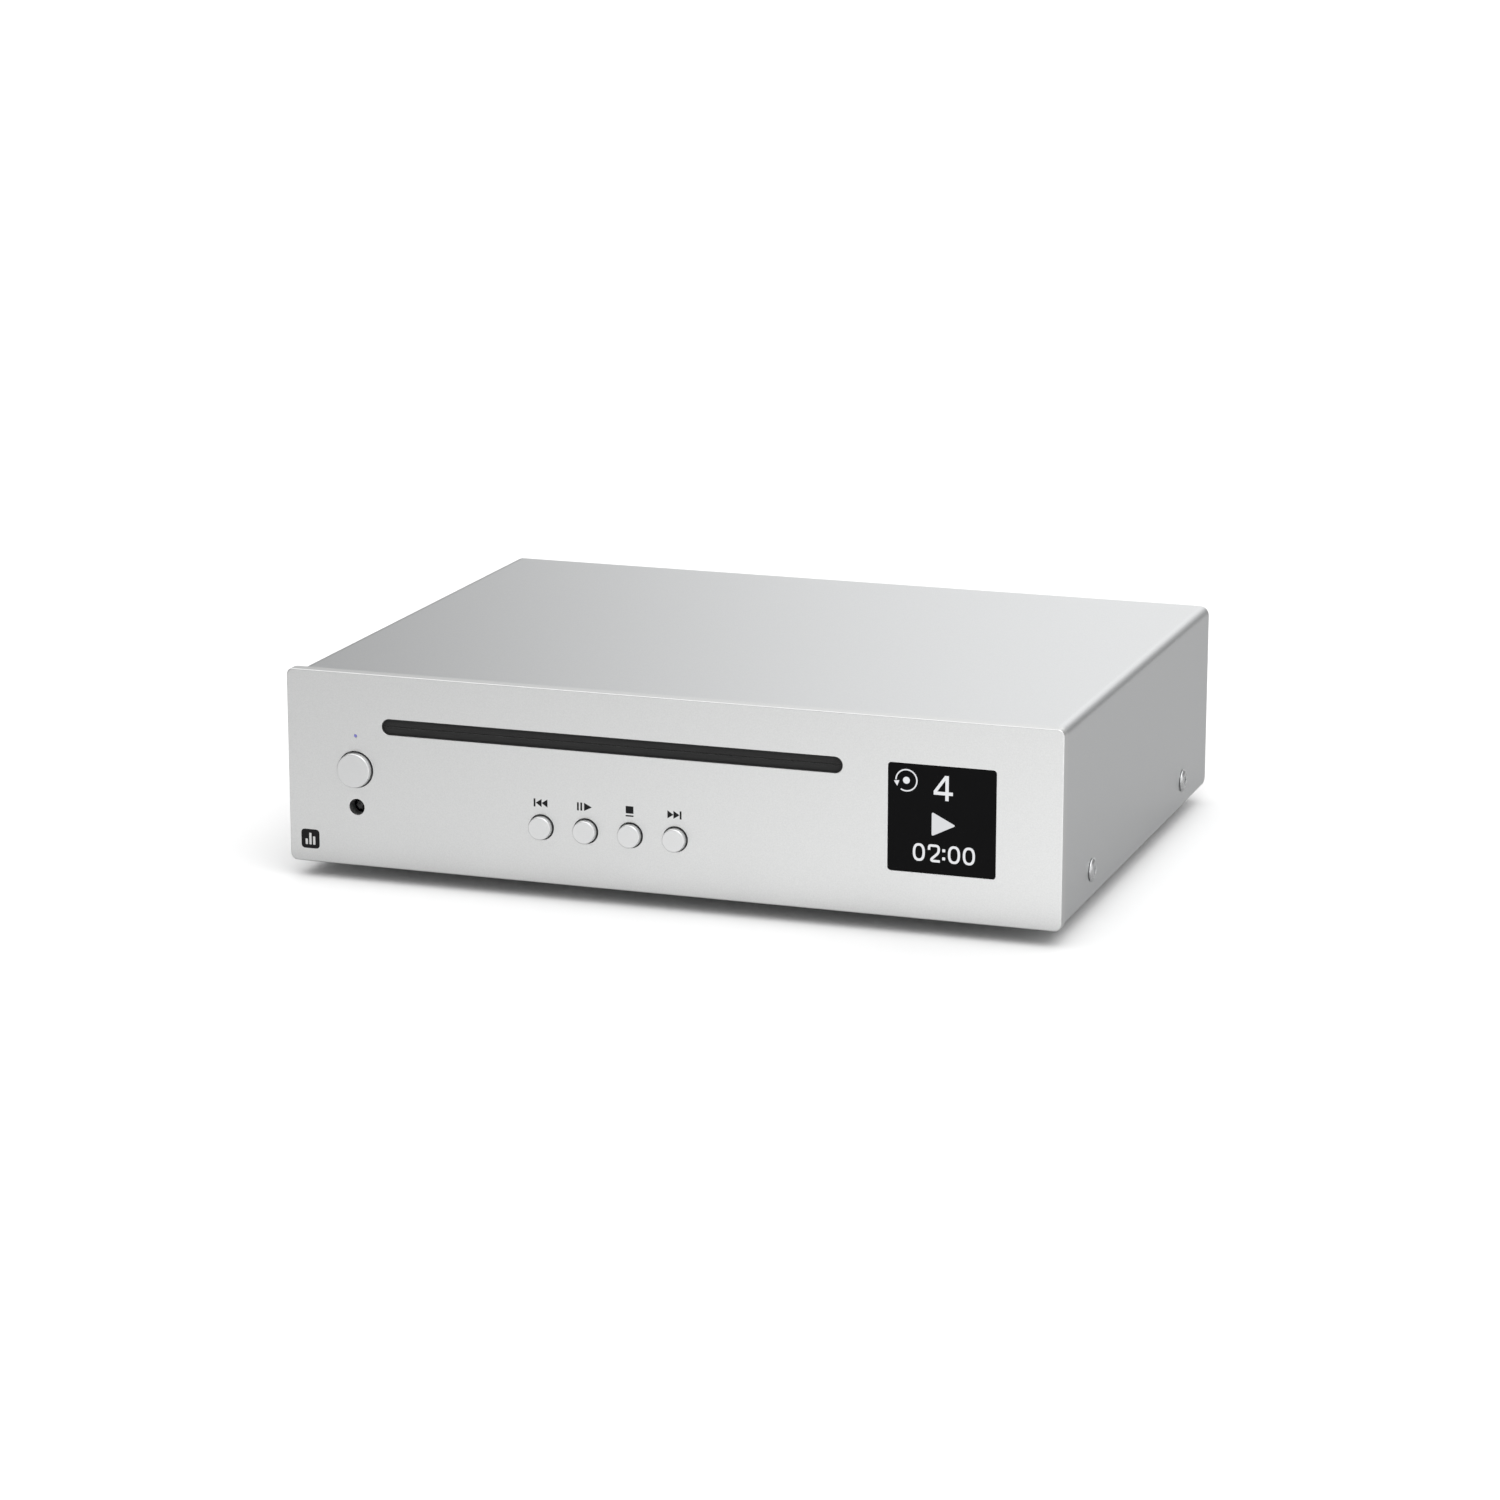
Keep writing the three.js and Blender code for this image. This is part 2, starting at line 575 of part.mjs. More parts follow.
function driveFrame() {
  const { left, right, front, rear, floor, sheet, floorFront } = FRAME;
  const bore = rod('x', ROLLER.shaft + HOLE_GAP, left - 1, right + 1, [ROLLER.y, ROLLER_Z]);
  const opening = carve([
    block(-80.5, SLOT.x, DISC_Y - 9, DISC_Y + 9, floor - 1, floor + sheet + 1),
    rod('z', TURNTABLE.radius + 2.5, floor - 1, floor + sheet + 1, [SLOT.x, DISC_Y], FINE_ROUND),
  ]);
  const motorRoom = block(
    LEAD_SCREW.right - 1, LEAD_SCREW.right + SLED_MOTOR.length + 3,
    LEAD_SCREW.y - 6, LEAD_SCREW.y + 6, floor - 1, floor + sheet + 1,
  );
  return carve([
    block(left, right, floorFront, rear, floor, floor + sheet),
    block(left, left + sheet, front, rear, floor, WALL_TOP),
    block(right - sheet, right, front, rear, floor, WALL_TOP),
    block(left, right, rear - sheet, rear, floor, WALL_TOP),
  ], [bore, opening, motorRoom]);
}

/** Flat lid over the disc, open over the clamp arm, with two lugs for the arm's pivot pins. */
function driveLid() {
  const { left, right, front, rear } = FRAME;
  const top = LID.bottom + LID.sheet;
  const opening = roundedRectangle(SLOT.x, 97, 40, 74, 3);
  const lugs = [-13.5, 10.5].map((offset) => block(
    SLOT.x + offset, SLOT.x + offset + 3, ARM.pivotY - 2.5, ARM.pivotY + 2.5, LID.bottom, 52.4,
  ));
  const bore = rod('x', ARM.pin + HOLE_GAP, SLOT.x - 20, SLOT.x + 20, [ARM.pivotY, ARM.pivotZ], COARSE_ROUND);
  return carve(
    [block(left, right, front, rear, LID.bottom, top), ...lugs],
    [plateXY(opening, LID.bottom - 1, top + 1, 3), bore],
  );
}

/** A folded bracket that carries one side of the drive: a foot, a web and two top ears. */
function driveBracket(side) {
  const { left, right, front, rear, floor, sheet } = FRAME;
  const low = TRAY.bottom + TRAY.sheet + GAP;
  const high = floor - GAP;
  const flange = 10;
  const web = side < 0 ? [left, left + sheet] : [right - sheet, right];
  const inward = side < 0 ? [left, left + flange] : [right - flange, right];
  const cuts = [block(inward[0] - 1, inward[1] + 1, 50, 122, high - sheet - 0.01, high + 1)];
  if (side > 0) {
    cuts.push(
      rod('x', MOTOR.boss + HOLE_GAP, right - sheet - 1, right + 1, [PINION.y, PINION.z], COARSE_ROUND),
      rod('x', IDLER_PIN + HOLE_GAP, right - sheet - 1, right + 1, [IDLER.y, IDLER.z], COARSE_ROUND),
    );
  }
  return carve([
    block(...web, front, rear, low, high),
    block(...inward, front, rear, low, low + sheet),
    block(...inward, front, rear, high - sheet, high),
  ], cuts);
}

const pitchRadius = (teeth) => (GEAR.module * teeth) / 2;

/** Where the loading gears turn, in y and z, each a pitch-circle distance from the last. */
const IDLER_PIN = 1.5;
const idlerReach = pitchRadius(TEETH.roller) + pitchRadius(TEETH.idler);
const pinionReach = pitchRadius(TEETH.idler) + pitchRadius(TEETH.pinion);
const IDLER = {
  y: ROLLER.y + Math.sqrt(idlerReach ** 2 - IDLER_DROP ** 2),
  z: ROLLER_Z - IDLER_DROP,
};
const PINION = {
  y: IDLER.y + Math.sqrt(pinionReach ** 2 - (IDLER.z - MOTOR.z) ** 2),
  z: MOTOR.z,
};

/** Outline of a spur gear with involute flanks, one tooth centred on `angle`. */
function gearOutline(teeth, angle) {
  const pitch = pitchRadius(teeth);
  const base = pitch * Math.cos(THREE.MathUtils.degToRad(20));
  const tip = pitch + GEAR.addendum * GEAR.module;
  const root = pitch - GEAR.dedendum * GEAR.module;
  const involute = (radius) => {
    const roll = Math.acos(Math.min(1, base / radius));
    return Math.tan(roll) - roll;
  };
  const halfTooth = Math.PI / (2 * teeth) - GEAR.backlash / (2 * pitch);
  const flank = [root, pitch, tip].map((radius) => [
    radius, halfTooth + involute(pitch) - involute(Math.max(radius, base)),
  ]);
  const points = [];
  for (let tooth = 0; tooth < teeth; tooth += 1) {
    const middle = angle + (tooth * 2 * Math.PI) / teeth;
    for (const [radius, half] of flank) points.push([radius, middle - half]);
    for (const [radius, half] of [...flank].reverse()) points.push([radius, middle + half]);
  }
  return points.map(([radius, at]) => [radius * Math.cos(at), radius * Math.sin(at)]);
}

/** The angle at which a gear's teeth enter the gaps of a gear that stands at `angle`. */
function meshingAngle(teeth, angle, otherTeeth, direction) {
  return direction + Math.PI - ((angle - direction) * teeth + Math.PI) / otherTeeth;
}

function gear(teeth, angle, at, bore) {
  const outline = polygon(gearOutline(teeth, angle));
  outline.holes.push(new THREE.Path().absarc(0, 0, bore, 0, 2 * Math.PI, false));
  return plateYZ(outline, GEAR.x, GEAR.x + GEAR.width, 6).translate(0, at.y, at.z);
}

/** A roller that is slimmer in the middle, so that only the disc's edges touch it. */
function feedRoller() {
  const { left, right, radius, waist, shaft } = ROLLER;
  const middle = (left + right) / 2;
  return turned('x', [
    [shaft + GAP, left],
    [radius - 0.4, left],
    [radius, left + 0.4],
    [waist, middle - 4],
    [waist, middle + 4],
    [radius, right - 0.4],
    [radius - 0.4, right],
    [shaft + GAP, right],
    [shaft + GAP, left],
  ], [ROLLER.y, ROLLER_Z]);
}

/** A small can motor lying along X, with its bearing boss in the bracket's bore. */
function loadingMotor() {
  const { radius, left, right, boss } = MOTOR;
  return turned('x', [
    [0, left - 1.5],
    [2.5, left - 1.5],
    [2.5, left],
    [radius - 0.6, left],
    [radius, left + 0.6],
    [radius, right - 0.2],
    [boss, right - 0.2],
    [boss, FRAME.right + 0.3],
    [0, FRAME.right + 0.3],
  ], [PINION.y, PINION.z]);
}

/** The upper guide of the slot: a smooth bar with a tapered lip where the disc enters. */
function discGuide() {
  const top = LID.bottom - GAP;
  const low = DISC_TOP + 0.3;
  const profile = polygon([[12.6, low + 1.6], [15, low], [20.5, low], [20.5, top], [12.6, top]]);
  return plateYZ(profile, SLOT.x - DISC.radius - 2, SLOT.x + DISC.radius + 2);
}

function addDrive() {
  add('drive_frame', driveFrame(), 'zincSteel');
  add('drive_lid', driveLid(), 'zincSteel');
  for (const [name, side] of Object.entries(SIDES)) {
    add(`drive_bracket_${name}`, driveBracket(side), 'zincSteel');
  }
  add('disc_guide', discGuide(), 'whitePlastic');

  const shaftEnd = GEAR.x + GEAR.width + 0.6;
  add('roller_shaft', rod('x', ROLLER.shaft, FRAME.left - 1.5, shaftEnd, [ROLLER.y, ROLLER_Z]), 'chrome');
  add('feed_roller', feedRoller(), 'rubber');
  const toIdler = Math.atan2(IDLER.z - ROLLER_Z, IDLER.y - ROLLER.y);
  const toPinion = Math.atan2(PINION.z - IDLER.z, PINION.y - IDLER.y);
  const idlerAngle = meshingAngle(TEETH.roller, toIdler, TEETH.idler, toIdler);
  const pinionAngle = meshingAngle(TEETH.idler, idlerAngle, TEETH.pinion, toPinion);
  const rollerAt = { y: ROLLER.y, z: ROLLER_Z };
  add('roller_gear', gear(TEETH.roller, toIdler, rollerAt, ROLLER.shaft + GAP), 'whitePlastic');
  add('idler_gear', gear(TEETH.idler, idlerAngle, IDLER, IDLER_PIN + HOLE_GAP), 'whitePlastic');
  add('idler_pin', turned('x', [
    [0, FRAME.right - FRAME.sheet - 1],
    [IDLER_PIN, FRAME.right - FRAME.sheet - 1],
    [IDLER_PIN, GEAR.x + GEAR.width + 0.4],
    [IDLER_PIN + 1, GEAR.x + GEAR.width + 0.4],
    [IDLER_PIN + 1, GEAR.x + GEAR.width + 1.2],
    [0, GEAR.x + GEAR.width + 1.2],
  ], [IDLER.y, IDLER.z], COARSE_ROUND), 'chrome');
  add('loading_motor', loadingMotor(), 'zincSteel');
  add('motor_pinion', motorPinion(pinionAngle), 'whitePlastic');
}

/** The motor's pinion has no bore: the end of the motor's shaft is moulded into it. */
function motorPinion(angle) {
  const outline = polygon(gearOutline(TEETH.pinion, angle));
  return plateYZ(outline, GEAR.x, GEAR.x + GEAR.width).translate(0, PINION.y, PINION.z);
}

// ---------------------------------------------------------------- traverse: it reads the disc

const ROD_Y = [DISC_Y - ROD.offset, DISC_Y + ROD.offset];
const LENS_X = SLOT.x - LENS.inner;

/** The plate that rises to the disc, with rod holders and the two pins that lift it. */
function traversePlate() {
  const { left, right, halfDepth, bottom, sheet } = TRAVERSE;
  const holder = 2.1;
  const holders = ROD_Y.flatMap((y) => [[left, left + 2.6], [-27.6, -25]].map(([x0, x1]) => block(
    x0, x1, y - 3, y + 3, bottom, ROD.z + holder,
  )));
  const y0 = DISC_Y - halfDepth;
  const y1 = DISC_Y + halfDepth;
  const pins = SLIDER_PINS.map((x) => rod(
    'y', SLIDER.pin, y1 - 2, SLIDER.y + 2.5, [x, pinRestZ()], COARSE_ROUND,
  ));
  const pinBlocks = SLIDER_PINS.map((x) => block(x - 3, x + 3, y1 - 3, y1, bottom, TRAVERSE_TOP + 2));
  const window = [left + 3.4, -28.5];
  return carve(
    [block(left, right, y0, y1, bottom, bottom + sheet), ...holders, ...pins, ...pinBlocks],
    [
      block(...window, DISC_Y - 15.2, DISC_Y + 15.2, bottom - 1, bottom + sheet + 1),
      ...ROD_Y.map((y) => rod('x', ROD.radius + 0.15, left - 1, -24, [y, ROD.z], COARSE_ROUND)),
      rod('z', SPINDLE.hub + TURNED_GAP, bottom - 1, bottom + sheet + 1, [SLOT.x, DISC_Y]),
    ],
  );
}

function pinRestZ() {
  return TRAVERSE.bottom + 1.9;
}

/** A flat motor on the plate: its bearing goes down through the plate around the shaft. */
function spindleMotor() {
  const { radius, top, hub } = SPINDLE;
  const { shaft } = TURNTABLE;
  const base = TRAVERSE_TOP + GAP;
  return turned('z', [
    [0, TRAVERSE.bottom - 2],
    [hub, TRAVERSE.bottom - 2],
    [hub, base],
    [radius, base],
    [radius, top - 0.5],
    [radius - 0.5, top],
    [shaft + HOLE_GAP, top],
    [shaft + HOLE_GAP, TRAVERSE.bottom - 1],
    [0, TRAVERSE.bottom - 1],
  ], [SLOT.x, DISC_Y]);
}

/** Platter, centring cone and shaft in one turned piece. */
function turntable() {
  const { radius, platter, coneRadius, coneTip, coneHeight, shaft } = TURNTABLE;
  return turned('z', [
    [0, TRAVERSE.bottom - 0.6],
    [shaft, TRAVERSE.bottom - 0.6],
    [shaft, SPINDLE.top + 1],
    [3.2, SPINDLE.top + 1],
    [3.2, PLATTER_TOP - platter],
    [radius, PLATTER_TOP - platter],
    [radius, PLATTER_TOP],
    [coneRadius, PLATTER_TOP],
    [coneRadius, PLATTER_TOP + 1.2],
    [coneTip, PLATTER_TOP + coneHeight],
    [0, PLATTER_TOP + coneHeight],
  ], [SLOT.x, DISC_Y], FINE_ROUND);
}

/** The sled on its two rods, with a raised block for the lens and a foot at the lead screw. */
function opticalSled() {
  const { bottom, top, halfDepth, behind, ahead, ear } = SLED;
  const x0 = LENS_X - behind;
  const x1 = LENS_X + ahead;
  const wings = block(
    x0 + 2, x1 - 2, ROD_Y[0] - ear, ROD_Y[1] + ear, TRAVERSE_TOP + TURNED_GAP, top,
  );
  const follower = block(
    x0 + 7, x0 + 13, ROD_Y[1], LEAD_SCREW.y - LEAD_SCREW.radius - HOLE_GAP,
    TRAVERSE_TOP + TURNED_GAP, top,
  );
  const { block: half, blockTop } = LENS;
  return carve(
    [
      block(x0, x1, DISC_Y - halfDepth, DISC_Y + halfDepth, bottom, top),
      block(LENS_X - half, LENS_X + half, DISC_Y - 8, DISC_Y + 8, top - 1, blockTop),
      wings,
      follower,
    ],
    ROD_Y.map((y) => rod('x', ROD.radius + HOLE_GAP, x0 - 1, x1 + 1, [y, ROD.z], COARSE_ROUND)),
  );
}

/** The lens in its round holder, which floats over the sled to focus. */
function objectiveLens() {
  const { radius, bottom, top } = LENS;
  return turned('z', [
    [0, bottom],
    [radius, bottom],
    [radius, top - 0.6],
    [radius - 0.6, top - 0.3],
    [2.2, top - 0.3],
    [1.6, top - 0.1],
    [0, top],
  ], [LENS_X, DISC_Y]);
}

function sledMotor() {
  const { radius, length, nose, noseLength } = SLED_MOTOR;
  const left = LEAD_SCREW.right + TURNED_GAP;
  const can = left + noseLength;
  return turned('x', [
    [0, left],
    [nose, left],
    [nose, can],
    [radius, can],
    [radius, can + length],
    [0, can + length],
  ], [LEAD_SCREW.y, LEAD_SCREW.z]);
}

/** The sliding cam: two slanted slots that lift the traverse's pins as it moves to the right. */
function liftSlider() {
  const { y, sheet, left, right, bottom, top, travel, pin } = SLIDER;
  const reach = pin + CLEARANCE;
  const slope = Math.atan2(LIFT, travel);
  const slots = SLIDER_PINS.map((x) => {
    const length = Math.hypot(LIFT, travel) + 2 * reach;
    const slot = roundedRectangle(0, 0, length, 2 * reach, reach - 1e-3);
    return plateXZ(slot, y - 1, y + sheet + 1, 4)
      .rotateY(slope)
      .translate(x - travel / 2, 0, pinRestZ() + LIFT / 2);
  });
  return carve([block(left, right, y, y + sheet, bottom, top)], slots);
}

// ---------------------------------------------------------------- clamp: it holds the disc down

function clampArm() {
  const { halfWidth, bottom, sheet, pivotY, pivotZ, pin, front } = ARM;
  const pinReach = 13;
  const x = SLOT.x;
  return carve([
    block(x - halfWidth, x + halfWidth, front, pivotY, bottom, bottom + sheet),
    rod('x', 1.5, x - halfWidth, x + halfWidth, [pivotY, pivotZ], COARSE_ROUND),
    rod('x', pin, x - pinReach, x + pinReach, [pivotY, pivotZ], COARSE_ROUND),
  ], [rod('z', PUCK.neck + 0.5, bottom - 1, bottom + sheet + 1, [x, DISC_Y])]);
}

/** A steel-backed puck hanging in the arm, hollow below so that the turntable's cone enters it. */
function clampPuck() {
  const { radius, bottom, top, recess, recessDepth, neck, cap } = PUCK;
  const capBottom = ARM.bottom + ARM.sheet + TURNED_GAP;
  return turned('z', [
    [0, bottom + recessDepth],
    [recess, bottom + recessDepth],
    [recess, bottom],
    [radius - 0.5, bottom],
    [radius, bottom + 0.5],
    [radius, top],
    [neck, top],
    [neck, capBottom],
    [cap, capBottom],
    [cap, capBottom + 0.8],
    [0, capBottom + 0.8],
  ], [SLOT.x, DISC_Y], FINE_ROUND);
}

function addTraverse() {
  add('traverse_plate', traversePlate(), 'zincSteel');
  add('spindle_motor', spindleMotor(), 'zincSteel');
  add('turntable', turntable(), 'blackPlastic');
  add('optical_sled', opticalSled(), 'blackPlastic');
  add('objective_lens', objectiveLens(), 'darkGlass');
  const rodNames = ['guide_rod_front', 'guide_rod_rear'];
  ROD_Y.forEach((y, i) => {
    add(rodNames[i], rod('x', ROD.radius, ROD.left, ROD.right, [y, ROD.z], COARSE_ROUND), 'chrome');
  });
  add('lead_screw', rod(
    'x', LEAD_SCREW.radius, LEAD_SCREW.left, LEAD_SCREW.right,
    [LEAD_SCREW.y, LEAD_SCREW.z], COARSE_ROUND,
  ), 'chrome');
  add('sled_motor', sledMotor(), 'zincSteel');
  add('lift_slider', liftSlider(), 'zincSteel');
  add('clamp_arm', clampArm(), 'zincSteel');
  add('clamp_puck', clampPuck(), 'blackPlastic');
}

addCasing();
addControls();
addSockets();
addElectronics();
addDrive();
addTraverse();

player.position.y = -(PHONO.reach - BUTTON.proud) / 2;

export default player;
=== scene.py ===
"""Looks of a half-width, slot-loading compact disc player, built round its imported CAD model.

Lengths written with MM are millimetres; everything handed to Blender is in metres.
+X is to the right of someone facing the front panel, +Y runs to the back and +Z is up.
"""

import math

import bmesh
import bpy
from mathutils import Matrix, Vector


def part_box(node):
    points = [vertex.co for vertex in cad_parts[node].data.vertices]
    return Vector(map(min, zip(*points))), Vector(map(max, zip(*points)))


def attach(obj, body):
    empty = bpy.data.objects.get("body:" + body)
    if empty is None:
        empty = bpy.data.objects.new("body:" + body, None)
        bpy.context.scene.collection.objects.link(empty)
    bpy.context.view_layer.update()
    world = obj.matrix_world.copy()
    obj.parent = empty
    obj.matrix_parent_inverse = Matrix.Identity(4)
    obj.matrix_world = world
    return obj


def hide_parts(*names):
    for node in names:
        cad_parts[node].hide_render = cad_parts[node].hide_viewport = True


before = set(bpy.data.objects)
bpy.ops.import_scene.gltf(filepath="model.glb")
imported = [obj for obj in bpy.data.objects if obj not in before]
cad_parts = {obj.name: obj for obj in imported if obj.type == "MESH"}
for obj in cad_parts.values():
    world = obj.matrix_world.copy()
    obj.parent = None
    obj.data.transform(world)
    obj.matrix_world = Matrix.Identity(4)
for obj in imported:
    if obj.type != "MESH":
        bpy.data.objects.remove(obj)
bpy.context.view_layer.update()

MM = 0.001
TURN = 2 * math.pi
QUARTER = math.pi / 2
SMOOTH_ANGLE = math.radians(32)


# ---------------------------------------------------------------- materials

class Shader:
    """A Principled material whose colour, roughness and surface come from nodes."""

    def __init__(self, name, metallic=0.0, **sockets):
        self.material = bpy.data.materials.new(name)
        self.material.use_nodes = True
        self.tree = self.material.node_tree
        self.surface = self.tree.nodes["Principled BSDF"]
        self.surface.inputs["Metallic"].default_value = metallic
        for socket, value in sockets.items():
            self.surface.inputs[socket.replace("_", " ")].default_value = value
        self.place = self.node("ShaderNodeTexCoord").outputs["Object"]

    def node(self, kind, **values):
        made = self.tree.nodes.new(kind)
        for name, value in values.items():
            socket = name.replace("_", " ")
            if socket in made.inputs:
                made.inputs[socket].default_value = value
            else:
                setattr(made, name, value)
        return made

    def link(self, source, target):
        self.tree.links.new(source, target)

    def stretched(self, stretch):
        """The piece's own coordinates, scaled along each axis."""
        mapping = self.node("ShaderNodeMapping")
        mapping.inputs["Scale"].default_value = stretch
        self.link(self.place, mapping.inputs["Vector"])
        return mapping.outputs["Vector"]

    def noise(self, size, detail=3.0, stretch=None):
        """Noise from 0 to 1 whose features are about `size` metres across."""
        noise = self.node("ShaderNodeTexNoise", Scale=1 / size, Detail=detail)
        place = self.place if stretch is None else self.stretched(stretch)
        self.link(place, noise.inputs["Vector"])
        return noise.outputs["Fac"]

    def colour(self, fac, dark, light, low=0.3, high=0.7):
        ramp = self.node("ShaderNodeValToRGB")
        first, last = ramp.color_ramp.elements
        first.position, first.color = low, (*dark, 1)
        last.position, last.color = high, (*light, 1)
        self.link(fac, ramp.inputs["Fac"])
        self.link(ramp.outputs["Color"], self.surface.inputs["Base Color"])
        return self

    def roughness(self, fac, low, high):
        spread = self.node("ShaderNodeMapRange")
        spread.inputs["To Min"].default_value = low
        spread.inputs["To Max"].default_value = high
        self.link(fac, spread.inputs["Value"])
        self.link(spread.outputs["Result"], self.surface.inputs["Roughness"])
        return self

    def bump(self, height, strength, distance):
        bump = self.node("ShaderNodeBump", Strength=strength, Distance=distance)
        self.link(height, bump.inputs["Height"])
        self.link(bump.outputs["Normal"], self.surface.inputs["Normal"])
        return self


def tinted(colour, factor):
    return tuple(min(1.0, channel * factor) for channel in colour)


def satin_metal(name, colour, rough, grain=0.25 * MM, contrast=0.035, relief=0.25):
    """Blasted and anodised metal: an even, very fine sparkle."""
    shader = Shader(name, metallic=1.0)
    speckle = shader.noise(grain, detail=2.0)
    shader.colour(speckle, tinted(colour, 1 - contrast), tinted(colour, 1 + contrast))
    shader.roughness(shader.noise(grain * 1.7), rough - 0.05, rough + 0.05)
    return shader.bump(speckle, relief, 0.01 * MM).material


def turned_metal(name, colour, rough, pitch=0.12 * MM):
    """Smoother metal with a finer, fainter sparkle than the blasted kind."""
    shader = Shader(name, metallic=1.0)
    speckle = shader.noise(pitch, detail=2.0)
    shader.colour(speckle, tinted(colour, 0.97), tinted(colour, 1.02))
    shader.roughness(speckle, rough - 0.05, rough + 0.05)
    return shader.bump(speckle, 0.15, 0.006 * MM).material


def drawn_steel(name, colour, rough):
    """Plated sheet with a fine spangle and faint rolling lines."""
    shader = Shader(name, metallic=1.0)
    spangle = shader.noise(0.9 * MM, detail=3.0)
    lines = shader.noise(0.4 * MM, stretch=(0.06, 1, 1))
    shader.colour(spangle, tinted(colour, 0.97), tinted(colour, 1.02))
    shader.roughness(spangle, rough - 0.03, rough + 0.04)
    return shader.bump(lines, 0.2, 0.02 * MM).material


def moulded(name, colour, rough, grain=0.3 * MM, relief=0.25, **sockets):
    """Plastic, rubber or paint with the fine texture of its mould."""
    shader = Shader(name, **sockets)
    texture = shader.noise(grain)
    shader.colour(texture, tinted(colour, 0.95), tinted(colour, 1.05))
    shader.roughness(texture, rough - 0.05, rough + 0.08)
    return shader.bump(texture, relief, 0.02 * MM).material


def glowing(name, colour, strength, unlit=(0.02, 0.02, 0.022)):
    """A lit sign: its light varies a little, as behind a diffuser."""
    shader = Shader(name)
    cloud = shader.noise(3 * MM)
    shader.colour(cloud, tinted(unlit, 0.9), tinted(unlit, 1.1))
    shader.roughness(cloud, 0.3, 0.4)
    ramp = shader.node("ShaderNodeValToRGB")
    first, last = ramp.color_ramp.elements
    first.color, last.color = (*tinted(colour, 0.94), 1), (*colour, 1)
    shader.link(cloud, ramp.inputs["Fac"])
    shader.link(ramp.outputs["Color"], shader.surface.inputs["Emission Color"])
    shader.surface.inputs["Emission Strength"].default_value = strength
    return shader.material


def felt(name, colour):
    """Felt with fibres lying along the slot."""
    shader = Shader(name, Sheen_Weight=0.25, Sheen_Roughness=0.5)
    fibres = shader.noise(0.35 * MM, detail=4.0, stretch=(0.05, 1, 1))
    shader.colour(fibres, tinted(colour, 0.6), tinted(colour, 1.6))
    shader.roughness(fibres, 0.85, 1.0)
    return shader.bump(fibres, 0.6, 0.1 * MM).material


def circuit_board(name, colour):
    """Green solder resist, a little lighter where it lies over rows of copper."""
    shader = Shader(name, Coat_Weight=0.3, Coat_Roughness=0.2)
    rows = shader.node(
        "ShaderNodeTexBrick", Scale=1 / MM, Mortar_Size=0.1, Brick_Width=5.5, Row_Height=1.3,
    )
    shader.link(shader.place, rows.inputs["Vector"])
    gap = rows.outputs["Fac"]
    shader.colour(gap, tinted(colour, 1.12), tinted(colour, 0.85))
    return shader.roughness(gap, 0.3, 0.4).bump(gap, 0.15, 0.02 * MM).material


MATERIALS = {
    "panel_aluminium": satin_metal("panel_aluminium", (0.74, 0.745, 0.742), 0.42),
    "cover_aluminium": satin_metal("cover_aluminium", (0.7, 0.71, 0.715), 0.34),
    "button_aluminium": turned_metal("button_aluminium", (0.74, 0.745, 0.745), 0.36),
    "sheet_steel": drawn_steel("sheet_steel", (0.66, 0.67, 0.675), 0.42),
    "motor_steel": drawn_steel("motor_steel", (0.6, 0.605, 0.61), 0.35),
    "bright_steel": turned_metal("bright_steel", (0.7, 0.705, 0.71), 0.28),
    "black_metal": satin_metal("black_metal", (0.03, 0.03, 0.032), 0.45, contrast=0.2),
    "foot_rubber": moulded("foot_rubber", (0.03, 0.03, 0.03), 0.8, relief=0.5),
    "roller_rubber": moulded("roller_rubber", (0.05, 0.05, 0.05), 0.85, relief=0.5),
    "display_glass": moulded(
        "display_glass", (0.0022, 0.0022, 0.0025), 0.08, grain=6 * MM, relief=0.01,
        Specular_IOR_Level=0.06,
    ),
    "lens_glass": moulded(
        "lens_glass", (0.25, 0.3, 0.5), 0.08, grain=2 * MM, relief=0.02, Coat_Weight=0.6,
    ),
    "circuit_board": circuit_board("circuit_board", (0.03, 0.16, 0.08)),
    "light_guide": glowing("light_guide", (0.3, 0.28, 0.85), 0.35, (0.12, 0.12, 0.3)),
    "receiver_plastic": moulded("receiver_plastic", (0.003, 0.003, 0.004), 0.14, relief=0.02),
    "slot_felt": felt("slot_felt", (0.010, 0.010, 0.010)),
    "socket_gold": turned_metal("socket_gold", (0.75, 0.55, 0.2), 0.25),
    "black_plastic": moulded("black_plastic", (0.018, 0.018, 0.019), 0.45),
    "white_plastic": moulded("white_plastic", (0.75, 0.74, 0.68), 0.45),
}
INK = moulded(
    "panel_ink", (0.007, 0.007, 0.008), 0.6, grain=0.15 * MM, relief=0.1, Specular_IOR_Level=0.2,
)
DISPLAY_LIGHT = glowing("display_light", (0.82, 0.83, 0.85), 0.95)
DISPLAY_GREY = glowing("display_grey", (0.8, 0.81, 0.83), 0.85)
LINER = moulded("liner_black", (0.010, 0.010, 0.010), 0.7, relief=0.3)
RING_WHITE = moulded("ring_white", (0.75, 0.74, 0.7), 0.4)
RING_RED = moulded("ring_red", (0.5, 0.02, 0.02), 0.4)
RING_ORANGE = moulded("ring_orange", (0.75, 0.22, 0.02), 0.4)


# ---------------------------------------------------------------- outlines and solids

def circle(u, v, radius, steps=64):
    """An outline maker: given how far to grow, it returns the circle's points."""
    def at(grow):
        r = max(radius + grow, 1e-6)
        return [
            (u + r * math.cos(TURN * i / steps), v + r * math.sin(TURN * i / steps))
            for i in range(steps)
        ]
    return at


